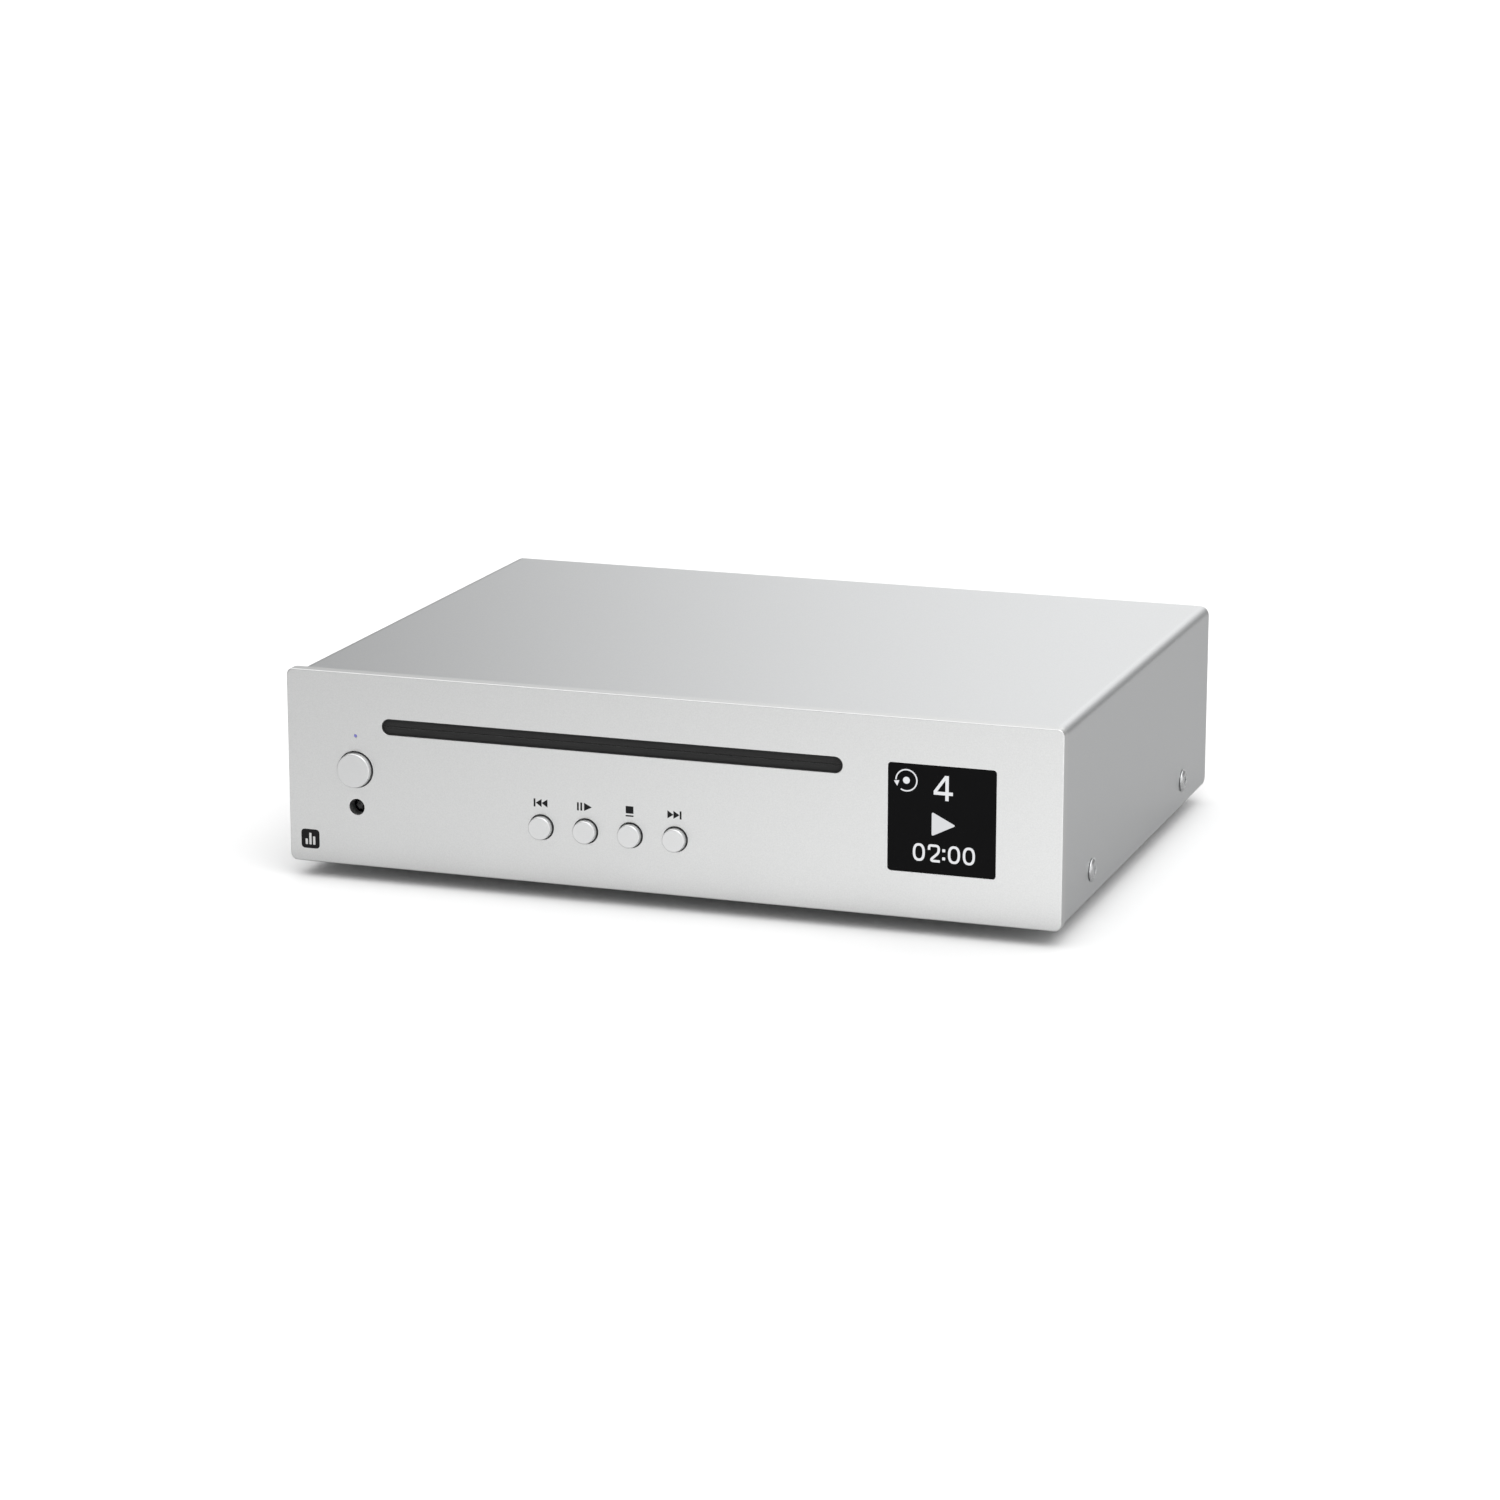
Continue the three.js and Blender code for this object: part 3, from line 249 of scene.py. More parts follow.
def rounded(u, v, width, height, radius, steps=8):
    """An outline maker for a rectangle with round corners, centred on (u, v)."""
    def at(grow):
        r = max(radius + grow, 0.02 * MM)
        a, b = width / 2 + grow - r, height / 2 + grow - r
        corners = [(a, b, 0), (-a, b, QUARTER), (-a, -b, 2 * QUARTER), (a, -b, 3 * QUARTER)]
        return [
            (
                u + du + r * math.cos(start + QUARTER * i / steps),
                v + dv + r * math.sin(start + QUARTER * i / steps),
            )
            for du, dv, start in corners
            for i in range(steps + 1)
        ]
    return at


def polygon(points):
    """An outline maker for a shape that is never grown."""
    return lambda grow: list(points)


def facing_front(u, v, depth):
    """Outlines are drawn in X and Z; depth runs along +Y."""
    return (u, depth, v)


def ring(bm, points):
    return [bm.verts.new(point) for point in points]


def join(bm, rings):
    """Quads between each ring of vertices and the next."""
    for near, far in zip(rings, rings[1:]):
        for i, _ in enumerate(near):
            j = (i + 1) % len(near)
            face = bm.faces.new((near[i], near[j], far[j], far[i]))
            face.smooth = True


def cap(bm, *rings):
    """A flat face inside the first ring and outside the others."""
    edges = []
    for verts in rings:
        for i, vert in enumerate(verts):
            other = verts[(i + 1) % len(verts)]
            edges.append(bm.edges.get((vert, other)) or bm.edges.new((vert, other)))
    filled = bmesh.ops.triangle_fill(bm, use_beauty=True, use_dissolve=False, edges=edges)
    for face in filled["geom"]:
        if isinstance(face, bmesh.types.BMFace):
            face.smooth = False


def edge_profile(start, end, front_round, back_round=0.0, steps=4):
    """(depth, grow) pairs of a wall whose two edges are rounded inwards."""
    profile = []
    for i in range(steps + 1 if front_round else 0):
        a = QUARTER * i / steps
        profile.append((start + front_round * (1 - math.cos(a)), -front_round * (1 - math.sin(a))))
    if not front_round:
        profile.append((start, 0.0))
    if not back_round:
        profile.append((end, 0.0))
    for i in range(steps + 1 if back_round else 0):
        a = QUARTER * i / steps
        profile.append((end - back_round * (1 - math.sin(a)), -back_round * (1 - math.cos(a))))
    return profile


def wall(bm, outline, profile, sign=1):
    """The rings of a wall; sign is -1 for a hole, which grows where a solid shrinks."""
    rings = [
        ring(bm, [facing_front(u, v, depth) for u, v in outline(sign * grow)])
        for depth, grow in profile
    ]
    join(bm, rings)
    return rings


def finished(bm, name):
    bmesh.ops.recalc_face_normals(bm, faces=bm.faces)
    mesh = bpy.data.meshes.new(name)
    bm.to_mesh(mesh)
    bm.free()
    mesh.set_sharp_from_angle(angle=SMOOTH_ANGLE)
    return mesh


def plate(name, outline, start, end, edge, back_edge=0.0, holes=(), hole_edge=0.0, steps=4):
    """A plate with rounded edges and through holes, from depth `start` to `end`."""
    bm = bmesh.new()
    outer = wall(bm, outline, edge_profile(start, end, edge, back_edge, steps))
    inner = [
        wall(bm, hole, edge_profile(start, end, hole_edge), sign=-1)
        for hole in holes
    ]
    cap(bm, outer[0], *[rings[0] for rings in inner])
    cap(bm, outer[-1], *[rings[-1] for rings in inner])
    return finished(bm, name)


def filleted(points, radius, steps=4):
    """The open path with each inner corner replaced by an arc-like curve of about `radius`."""
    path = [Vector(points[0])]
    for before, corner, after in zip(points, points[1:], points[2:]):
        corner = Vector(corner)
        back, ahead = Vector(before) - corner, Vector(after) - corner
        reach = min(radius, back.length * 0.45, ahead.length * 0.45)
        start, end = corner + back.normalized() * reach, corner + ahead.normalized() * reach
        for i in range(steps + 1):
            t = i / steps
            path.append((1 - t) ** 2 * start + 2 * t * (1 - t) * corner + t ** 2 * end)
    path.append(Vector(points[-1]))
    return path


AXES = {
    "x": lambda r, a, h, c: (h, c[0] + r * math.cos(a), c[1] + r * math.sin(a)),
    "y": lambda r, a, h, c: (c[0] + r * math.cos(a), h, c[1] + r * math.sin(a)),
    "z": lambda r, a, h, c: (c[0] + r * math.cos(a), c[1] + r * math.sin(a), h),
}


def lathe(name, axis, centre, profile, radius=0.12 * MM, steps=64, close=True):
    """A turned solid from (radius, distance along the axis) points, its corners softened."""
    path = filleted(profile, radius)
    bm = bmesh.new()
    rings = [
        ring(bm, [AXES[axis](r, TURN * i / steps, h, centre) for i in range(steps)])
        for r, h in path if r > 1e-7
    ]
    join(bm, rings)
    if close:
        cap(bm, rings[0])
        cap(bm, rings[-1])
    else:
        join(bm, [rings[-1], rings[0]])
    return finished(bm, name)


def strip(name, path, starts, ends, break_edge):
    """A closed profile in X and Z swept along Y, from starts[i] to ends[i] at its point i."""
    count = len(path)
    normals = []
    for i in range(count):
        along = Vector(path[(i + 1) % count]) - Vector(path[i - 1])
        normals.append(Vector((along.y, -along.x)).normalized())
    rows = [(break_edge, 0.0), (0.3 * break_edge, 0.3 * break_edge), (0.0, break_edge)]
    bm = bmesh.new()
    rings = []
    for inset, run in rows:
        rings.append(ring(bm, [
            (p[0] - n.x * inset, start + run, p[1] - n.y * inset)
            for p, n, start in zip(path, normals, starts)
        ]))
    for inset, run in reversed(rows):
        rings.append(ring(bm, [
            (p[0] - n.x * inset, end - run, p[1] - n.y * inset)
            for p, n, end in zip(path, normals, ends)
        ]))
    join(bm, rings)
    cap(bm, rings[0])
    cap(bm, rings[-1])
    return finished(bm, name)


def keep_flats_flat(obj):
    """Let a rounded edge blend into a flat face without bending the shading of the flat."""
    weighted = obj.modifiers.new("flat_faces", "WEIGHTED_NORMAL")
    weighted.mode = "FACE_AREA"
    weighted.keep_sharp = True


def piece(mesh, slot, body="casing", stands_for=(), material=None):
    """A shown piece with its finish, riding on its body."""
    obj = bpy.data.objects.new(mesh.name, mesh)
    bpy.context.collection.objects.link(obj)
    keep_flats_flat(obj)
    mesh.materials.append(material or MATERIALS[slot])
    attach(obj, body)
    if stands_for:
        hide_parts(*stands_for)
    return obj


def middle(node):
    lo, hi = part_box(node)
    return (lo + hi) / 2


# ---------------------------------------------------------------- casing

panel_lo, panel_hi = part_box("front_panel")
FACE = panel_lo.y
PANEL_BACK = panel_hi.y
upper_felt_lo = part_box("slot_felt_upper")[0]
lower_felt_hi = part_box("slot_felt_lower")[1]
SLOT = {
    "x": middle("slot_felt_upper").x,
    "z": (upper_felt_lo.z + lower_felt_hi.z) / 2,
    "back": upper_felt_lo.y - 0.05 * MM,
    "width": 123.4 * MM,
    "height": 4.2 * MM,
}
TRANSPORT = {
    "previous_button": "previous_push",
    "play_button": "play_push",
    "stop_button": "stop_push",
    "next_button": "next_push",
}
BUTTON_GAP = 0.4 * MM
RECEIVER_HOLE = 2.1 * MM
LIGHT_HOLE = 0.4 * MM
WINDOW_GAP = 0.1 * MM


def cap_radius(node):
    """Radius of a button's cap: its flange is wider by a known lip."""
    lo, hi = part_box(node)
    lip = 1.4 * MM if node == "standby_button" else 1.3 * MM
    return (hi.x - lo.x) / 2 - lip


def build_front_panel():
    size = panel_hi - panel_lo
    centre = (panel_lo + panel_hi) / 2
    outline = rounded(centre.x, centre.z, size.x, size.z, 1.8 * MM, steps=12)
    lo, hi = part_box("display_window")
    window = rounded(
        middle("display_window").x, middle("display_window").z,
        hi.x - lo.x + 2 * WINDOW_GAP, hi.z - lo.z + 2 * WINDOW_GAP, 0.85 * MM,
    )
    slot = rounded(
        SLOT["x"], SLOT["z"], SLOT["width"], SLOT["height"], SLOT["height"] / 2, steps=20,
    )
    holes = [
        slot,
        window,
        circle(middle("remote_receiver").x, middle("remote_receiver").z, RECEIVER_HOLE),
        circle(middle("power_light").x, middle("power_light").z, LIGHT_HOLE, steps=24),
    ]
    for node in ["standby_button", *TRANSPORT]:
        holes.append(circle(middle(node).x, middle(node).z, cap_radius(node) + BUTTON_GAP))
    mesh = plate(
        "front_panel_shell", outline, FACE, PANEL_BACK, 0.32 * MM, 0.3 * MM, holes, 0.14 * MM,
        steps=6,
    )
    piece(mesh, "panel_aluminium", stands_for=["front_panel"])


def build_cover():
    """A folded sheet whose rear lower corners are rounded off."""
    lo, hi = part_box("top_cover")
    sheet, bend, corner, support = 1.5 * MM, 2.5 * MM, 2.0 * MM, 0.4 * MM
    half, bottom, top = hi.x, lo.z, hi.z
    steps = 10

    def half_path(inset):
        """One side from its lower edge up round the bend to the top's support line."""
        radius = bend - inset
        side, crown = half - inset, top - inset
        # The points crowd towards the lower edge, where the rear corner turns fastest.
        path = [(side, bottom + corner * t) for t in (0, 0.02, 0.08, 0.2, 0.4, 0.7, 1)]
        path += [(side, top - bend - support)]
        path += [
            (
                half - bend + radius * math.cos(QUARTER * i / steps),
                top - bend + radius * math.sin(QUARTER * i / steps),
            )
            for i in range(steps + 1)
        ]
        path += [(half - bend - support, crown)]
        return path

    outside = half_path(0.0) + [(-x, z) for x, z in reversed(half_path(0.0))]
    inside = half_path(sheet) + [(-x, z) for x, z in reversed(half_path(sheet))]
    path = outside + inside[::-1]

    def rear_end(z):
        drop = max(0.0, corner - (z - bottom))
        return hi.y - corner + math.sqrt(corner ** 2 - drop ** 2)

    mesh = strip(
        "top_cover_shell", path, [lo.y] * len(path), [rear_end(z) for _, z in path], 0.25 * MM,
    )
    piece(mesh, "cover_aluminium", stands_for=["top_cover"])


def build_screw(node):
    """A raised steel screw head with a bevelled rim and a hexagon socket."""
    lo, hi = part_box(node)
    side = 1 if hi.x > 0 else -1
    y, z = (lo.y + hi.y) / 2, (lo.z + hi.z) / 2
    radius, height, shank = 3.0 * MM, 0.8 * MM, 1.5 * MM
    socket_radius, socket_depth, lead_in = 1.2 * MM, 0.6 * MM, 0.1 * MM
    tip, face = min(abs(lo.x), abs(hi.x)), max(abs(lo.x), abs(hi.x))
    seat = face - height

    def place(u, v, depth):
        return (side * depth, y + u, z + v)

    profile = filleted([
        (shank, tip),
        (shank, seat),
        (radius, seat),
        (radius, seat + 0.3 * MM),
        (radius - 0.62 * MM, face),
        (radius - 0.9 * MM, face),
    ], 0.12 * MM)
    hexagon = [(math.cos(TURN * i / 6), math.sin(TURN * i / 6)) for i in range(6)]
    bm = bmesh.new()
    outer = [ring(bm, [place(u, v, h) for u, v in circle(0, 0, r)(0)]) for r, h in profile]
    join(bm, outer)
    socket = [
        ring(bm, [place(r * u, r * v, h) for u, v in hexagon])
        for r, h in [
            (socket_radius + 0.12 * MM, face),
            (socket_radius, face - lead_in),
            (socket_radius, face - socket_depth),
        ]
    ]
    join(bm, socket)
    cap(bm, outer[0])
    cap(bm, outer[-1], socket[0])
    cap(bm, socket[-1])
    piece(finished(bm, f"{node}_head"), "bright_steel", stands_for=[node])


def build_foot(node):
    lo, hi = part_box(node)
    centre = (lo + hi) / 2
    radius, low, high = (hi.x - lo.x) / 2, lo.z, hi.z
    rim, hollow = 2.2 * MM, 0.3 * MM
    mesh = lathe(f"{node}_pad", "z", (centre.x, centre.y), [
        (0, low + hollow),
        (radius - rim, low + hollow),
        (radius - rim, low),
        (radius, low),
        (radius, high - 1.2 * MM),
        (radius - 0.4 * MM, high - 1.2 * MM),
        (radius - 0.4 * MM, high),
        (0, high),
    ], radius=0.5 * MM)
    piece(mesh, "foot_rubber", stands_for=[node])


def build_casing():
    build_front_panel()
    build_cover()
    for end in ("front", "rear"):
        for side in ("left", "right"):
            build_screw(f"cover_screw_{end}_{side}")
            build_foot(f"foot_{end}_{side}")


# ---------------------------------------------------------------- controls

def build_button(node, body):
    """A turned cap with a fine bevel, and behind the panel its flange and tail."""
    lo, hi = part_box(node)
    centre = middle(node)
    radius = cap_radius(node) + 0.1 * MM
    flange = (hi.x - lo.x) / 2
    behind = PANEL_BACK + 0.15 * MM
    bevel, flange_thickness, tail = 0.2 * MM, 1 * MM, 1.5 * MM
    mesh = lathe(f"{node}_cap", "y", (centre.x, centre.z), [
        (0, lo.y),
        (radius - bevel, lo.y),
        (radius, lo.y + bevel),
        (radius, behind),
        (flange, behind),
        (flange, behind + flange_thickness),
        (tail, behind + flange_thickness),
        (tail, hi.y),
        (0, hi.y),
    ], radius=0.06 * MM, steps=96)
    piece(mesh, "button_aluminium", body, stands_for=[node])


def build_receiver():
    lo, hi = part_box("remote_receiver")
    centre = middle("remote_receiver")
    dome, body = 1.6 * MM, (hi.x - lo.x) / 2
    shoulder = PANEL_BACK + 1.2 * MM
    steps = 12
    arc = [
        (dome * math.sin(QUARTER * i / steps), lo.y + dome * (1 - math.cos(QUARTER * i / steps)))
        for i in range(steps + 1)
    ]
    mesh = lathe("receiver_dome", "y", (centre.x, centre.z), [
        *arc, (dome, shoulder), (body, shoulder), (body, hi.y), (0, hi.y),
    ], radius=0.05 * MM, steps=48)
    piece(mesh, "receiver_plastic", stands_for=["remote_receiver"])


def build_power_light():
    lo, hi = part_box("power_light")
    centre = middle("power_light")
    pin, body = 0.3 * MM, (hi.x - lo.x) / 2
    shoulder = PANEL_BACK + 0.3 * MM
    mesh = lathe("power_light_guide", "y", (centre.x, centre.z), [
        (0, lo.y), (pin, lo.y), (pin, shoulder), (body, shoulder), (body, hi.y), (0, hi.y),
    ], radius=0.1 * MM, steps=32)
    piece(mesh, "light_guide", stands_for=["power_light"])


def build_felt(node):
    """A lip of felt with a soft front edge and shallow brushed furrows along it."""
    lo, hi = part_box(node)
    upper = middle(node).z > SLOT["z"]
    near, far = (lo.z, hi.z) if upper else (hi.z, lo.z)
    halves = 12
    furrow = 0.12 * MM
    profile = [(lo.y + 0.4 * MM, near), (lo.y + 0.1 * MM, near + (far - near) * 0.03)]
    for i in range(1, halves + 1):
        profile.append((lo.y + (furrow if i % 2 else 0.0), near + (far - near) * i / halves))
    profile += [(hi.y, far), (hi.y, near)]
    bm = bmesh.new()
    rings = [ring(bm, [(x, y, z) for y, z in profile]) for x in (lo.x, hi.x)]
    join(bm, rings)
    cap(bm, rings[0])
    cap(bm, rings[-1])
    piece(finished(bm, f"{node}_lip"), "slot_felt", stands_for=[node])


def stadium(inset):
    """The slot's outline, drawn in by `inset`."""
    width, height = SLOT["width"] - 2 * inset, SLOT["height"] - 2 * inset
    return rounded(SLOT["x"], SLOT["z"], width, height, height / 2 - 0.01 * MM, steps=20)


def build_brush(name, side):
    """Half of the pile that fills the slot, with a fine slit left for the disc."""
    slit = 0.12 * MM
    half = [
        (x, z) for x, z in stadium(0.28 * MM)(0)
        if side * (z - SLOT["z"]) > slit
    ]
    ends = max(abs(x - SLOT["x"]) for x, _ in half)
    level = SLOT["z"] + side * slit
    foot = [(SLOT["x"] - side * ends, level), (SLOT["x"] + side * ends, level)]
    mesh = plate(name, polygon(half + foot), FACE + 0.7 * MM, SLOT["back"], 0.0)
    piece(mesh, "slot_felt")


def build_slot_liner():
    """A thin black sleeve that lines the slot from just behind the panel's face to the felt."""
    clearance, wall_thickness, edge = 0.02 * MM, 0.23 * MM, 0.04 * MM
    mesh = plate(
        "slot_liner", stadium(clearance), FACE + 0.25 * MM, SLOT["back"], edge, edge,
        [stadium(clearance + wall_thickness)], edge,
    )
    piece(mesh, "black_plastic", material=LINER)


def build_window():
    lo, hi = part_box("display_window")
    centre = middle("display_window")
    outline = rounded(centre.x, centre.z, hi.x - lo.x, hi.z - lo.z, 0.75 * MM)
    mesh = plate("display_window_pane", outline, lo.y, hi.y, 0.15 * MM, 0.1 * MM)
    piece(mesh, "display_glass", stands_for=["display_window"])


def build_controls():
    build_button("standby_button", "standby_push")
    for node, body in TRANSPORT.items():
        build_button(node, body)
    build_receiver()
    build_power_light()
    build_felt("slot_felt_upper")
    build_felt("slot_felt_lower")
    build_slot_liner()
    build_brush("slot_brush_upper", 1)
    build_brush("slot_brush_lower", -1)
    build_window()


# ---------------------------------------------------------------- signs on the panel and the display

PANEL_Z = (panel_lo.z + panel_hi.z) / 2
INK_PROUD = 0.012 * MM
SIGN_PROUD = 0.02 * MM


def millimetres(points, x0=0.0, z0=0.0):
    """Points given in millimetres from (x0, z0), in metres from the panel's middle height."""
    return [((x0 + x) * MM, PANEL_Z + (z0 + z) * MM) for x, z in points]


def soft_polygon(points, radius):
    """A closed polygon, in millimetres, with its corners rounded."""
    looped = [points[-1], *points, points[0]]
    return [tuple(p) for p in filleted(looped, radius, steps=4)[1:-1]]


def bar(x0, x1, z0, z1, radius=0.12):
    return soft_polygon([(x0, z0), (x1, z0), (x1, z1), (x0, z1)], radius)


def arc_band(x, z, radius, stroke, start, end, steps=40):
    """Part of a ring, from angle `start` to `end` in degrees."""
    angles = [math.radians(start + (end - start) * i / steps) for i in range(steps + 1)]
    outer = [(x + radius * math.cos(a), z + radius * math.sin(a)) for a in angles]
    inner = [
        (x + (radius - stroke) * math.cos(a), z + (radius - stroke) * math.sin(a))
        for a in reversed(angles)
    ]
    return outer + inner


def disc(x, z, radius, steps=32):
    return [
        (x + radius * math.cos(TURN * i / steps), z + radius * math.sin(TURN * i / steps))
        for i in range(steps)
    ]


def sign(name, shapes, surface, proud, slot, material, lines=()):
    """Shapes with their holes, and lines, lying on a surface as thin closed solids."""
    bm = bmesh.new()
    for points, width, corner in lines:
        ribbon(bm, points, width, corner, surface, proud)
    for shape, *holes in shapes:
        rings = [
            wall(bm, polygon(millimetres(points)), [(surface - proud, 0), (surface, 0)])
            for points in (shape, *holes)
        ]
        cap(bm, *[walls[0] for walls in rings])
        cap(bm, *[walls[-1] for walls in rings])
    piece(finished(bm, name), slot, material=material)


def ribbon(bm, points, width, corner, surface, proud):
    """A solid line of constant width along an open path, in millimetres."""
    path = filleted(points, corner, steps=6)
    rings = []
    for i, point in enumerate(path):
        along = path[min(i + 1, len(path) - 1)] - path[max(i - 1, 0)]
        side = Vector((-along.y, along.x)).normalized() * width / 2
        left, right = millimetres([point + side, point - side])
        rings.append(ring(bm, [
            (left[0], surface, left[1]), (left[0], surface - proud, left[1]),
            (right[0], surface - proud, right[1]), (right[0], surface, right[1]),
        ]))
    join(bm, rings)
    cap(bm, rings[0])
    cap(bm, rings[-1])


def oval(x, z, half_width, half_height, steps=48):
    """A slightly squared ellipse, as in plain display figures."""
    power = 2 / 2.4
    points = []
    for i in range(steps):
        c, q = math.cos(TURN * i / steps), math.sin(TURN * i / steps)
        points.append((
            x + half_width * math.copysign(abs(c) ** power, c),
            z + half_height * math.copysign(abs(q) ** power, q),
        ))
    return points


def digit_zero(x, z, width, height, stroke):
    centre = (x + width / 2, z + height / 2)
    outer = oval(*centre, width / 2, height / 2)
    inner = oval(*centre, width / 2 - stroke, height / 2 - stroke)
    return [outer, inner]


def two_path(x, z, width, height, stroke):
    """The middle line of a figure two: over the bowl, down the diagonal, along the foot."""
    s = stroke / 2
    return [
        (x + s, z + height * 0.68),
        (x + s, z + height - s),
        (x + width - s, z + height - s),
        (x + width - s, z + height * 0.55),
        (x + s * 1.3, z + s),
        (x + width, z + s),
    ]


def digit_four(x, z, width, height, stroke):
    """A stem with a crossbar and a slanting line, and the counter cut out between them."""
    bar_low = z + height * 0.22
    bar_high = bar_low + stroke
    right = x + width * 0.78
    left = right - stroke
    top = z + height
    outer = [
        (left, z), (right, z), (right, bar_low), (x + width, bar_low), (x + width, bar_high),
        (right, bar_high), (right, top), (left - stroke * 0.15, top),
        (x, bar_high + stroke * 0.1), (x, bar_low), (left, bar_low),
    ]
    counter = [
        (x + stroke * 1.05, bar_high), (left, bar_high), (left, top - stroke * 1.35),
    ]
    return [outer, counter]


def build_display_signs():
    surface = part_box("display_window")[0].y
    ring_x, ring_z, ring_radius, line = 63.1, 9.58, 2.85, 0.34
    build = [
        [arc_band(ring_x, ring_z, ring_radius, line, -122, 180)],
        [disc(ring_x, ring_z, 0.88)],
        [soft_polygon([(59.9, 9.3), (61.3, 9.45), (60.75, 8.0)], 0.08)],
        digit_four(70.1, 5.17, 4.9, 6.33, 0.85),
    ]
    sign("display_track_signs", build, surface, SIGN_PROUD, "display_glass", DISPLAY_LIGHT)

    triangle = soft_polygon([(69.67, -4.04), (75.83, -0.95), (69.67, 2.13)], 0.6)
    sign("display_play_sign", [[triangle]], surface, SIGN_PROUD, "display_glass", DISPLAY_GREY)

    z, height, stroke, width = -10.6, 4.5, 0.62, 3.1
    starts = [64.9, 68.75, 73.9, 77.7]
    digits = [
        digit_zero(starts[0], z, width, height, stroke),
        digit_zero(starts[2], z, width, height, stroke),
        digit_zero(starts[3], z, width, height, stroke),
        [bar(72.45, 73.2, z + 0.7, z + 1.45, 0.1)],
        [bar(72.45, 73.2, z + 2.75, z + 3.5, 0.1)],
    ]
    two = (two_path(starts[1], z, width, height, stroke), stroke, width * 0.42)
    sign(
        "display_time_signs", digits, surface, SIGN_PROUD, "display_glass", DISPLAY_LIGHT,
        lines=[two],
    )


def triangle_right(x0, x1, z0, z1):
    return soft_polygon([(x0, z0), (x1, (z0 + z1) / 2), (x0, z1)], 0.08)


def triangle_left(x0, x1, z0, z1):
    return soft_polygon([(x1, z0), (x1, z1), (x0, (z0 + z1) / 2)], 0.08)


def printed(name, shapes):
    sign(name, [[shape] for shape in shapes], FACE, INK_PROUD, "black_plastic", INK)


def build_printed_signs():
    """Transport symbols over their buttons, and a plain level-meter emblem low on the left."""
    low, high = -5.46, -3.36
    printed("previous_sign", [
        bar(-35.25, -34.77, low, high, 0.05),
        triangle_left(-34.7, -33.1, low, high),
        triangle_left(-33.1, -31.5, low, high),
    ])
    printed("play_pause_sign", [
        bar(-23.5, -23.02, low, high, 0.05),
        bar(-22.6, -22.12, low, high, 0.05),
        triangle_right(-21.6, -19.5, low, high),
    ])
    printed("stop_eject_sign", [
        bar(-10.4, -8.33, -5.1, -3.2, 0.05),
        bar(-10.42, -8.33, -5.9, -5.54, 0.05),
    ])
    printed("next_sign", [
        triangle_right(0.75, 2.35, low, high),
        triangle_right(2.35, 3.95, low, high),
        bar(4.02, 4.5, low, high, 0.05),
    ])
    badge = bar(-99.9, -94.8, -21.95, -16.85, 1.1)
    levels = [(-98.75, 1.5), (-97.7, 3.1), (-96.65, 2.2)]
    slits = [bar(x, x + 0.65, -20.95, -20.95 + height, 0.15) for x, height in levels]
    sign("level_emblem", [[badge, *slits]], FACE, INK_PROUD, "black_plastic", INK)


# ---------------------------------------------------------------- rear

def build_phono(node, ring_material):
    """A plated shell with a coloured ring, on a six-sided nut."""
    lo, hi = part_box(node)
    centre = middle(node)
    at = (centre.x, centre.z)
    rear_lo, rear_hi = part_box("rear_panel")
    shell, bore, body = 4.15 * MM, 1.6 * MM, 5.2 * MM
    outside = rear_hi.y + 0.3 * MM
    inside = rear_lo.y - 0.3 * MM
    insulator, recess = 3.1 * MM, 8.1 * MM
    nut_radius, nut_height = 5.6 * MM, 1.0 * MM
    mesh = lathe(f"{node}_shell", "y", at, [
        (0, lo.y),
        (body, lo.y),
        (body, inside),
        (shell, inside),
        (shell, outside + nut_height),
        (shell, hi.y),
        (insulator + 0.05 * MM, hi.y),
        (insulator + 0.05 * MM, hi.y - recess - 0.1 * MM),
        (0, hi.y - recess - 0.1 * MM),
    ], radius=0.25 * MM)
    piece(mesh, "socket_gold", stands_for=[node])
    core = lathe(f"{node}_insulator", "y", at, [
        (bore, hi.y - recess),
        (insulator, hi.y - recess),
        (insulator, hi.y - 0.3 * MM),
        (bore, hi.y - 0.3 * MM),
        (bore, hi.y - recess),
    ], close=False)
    piece(core, "white_plastic", material=ring_material)
    contact = lathe(f"{node}_contact", "y", at, [
        (0, hi.y - recess),
        (bore - 0.1 * MM, hi.y - recess),
        (bore - 0.1 * MM, hi.y - 1.5 * MM),
        (bore - 0.45 * MM, hi.y - 1.5 * MM),
        (bore - 0.45 * MM, hi.y - 6 * MM),
        (0, hi.y - 6 * MM),
    ])
    piece(contact, "socket_gold")
    hexagon = [
        (
            centre.x + nut_radius * math.cos(TURN * i / 6),
            centre.z + nut_radius * math.sin(TURN * i / 6),
        )
        for i in range(6)
    ]
    nut = plate(
        f"{node}_nut", polygon(hexagon), outside, outside + nut_height, 0.0,
        holes=[circle(centre.x, centre.z, shell + 0.05 * MM)],
    )
    piece(nut, "bright_steel")


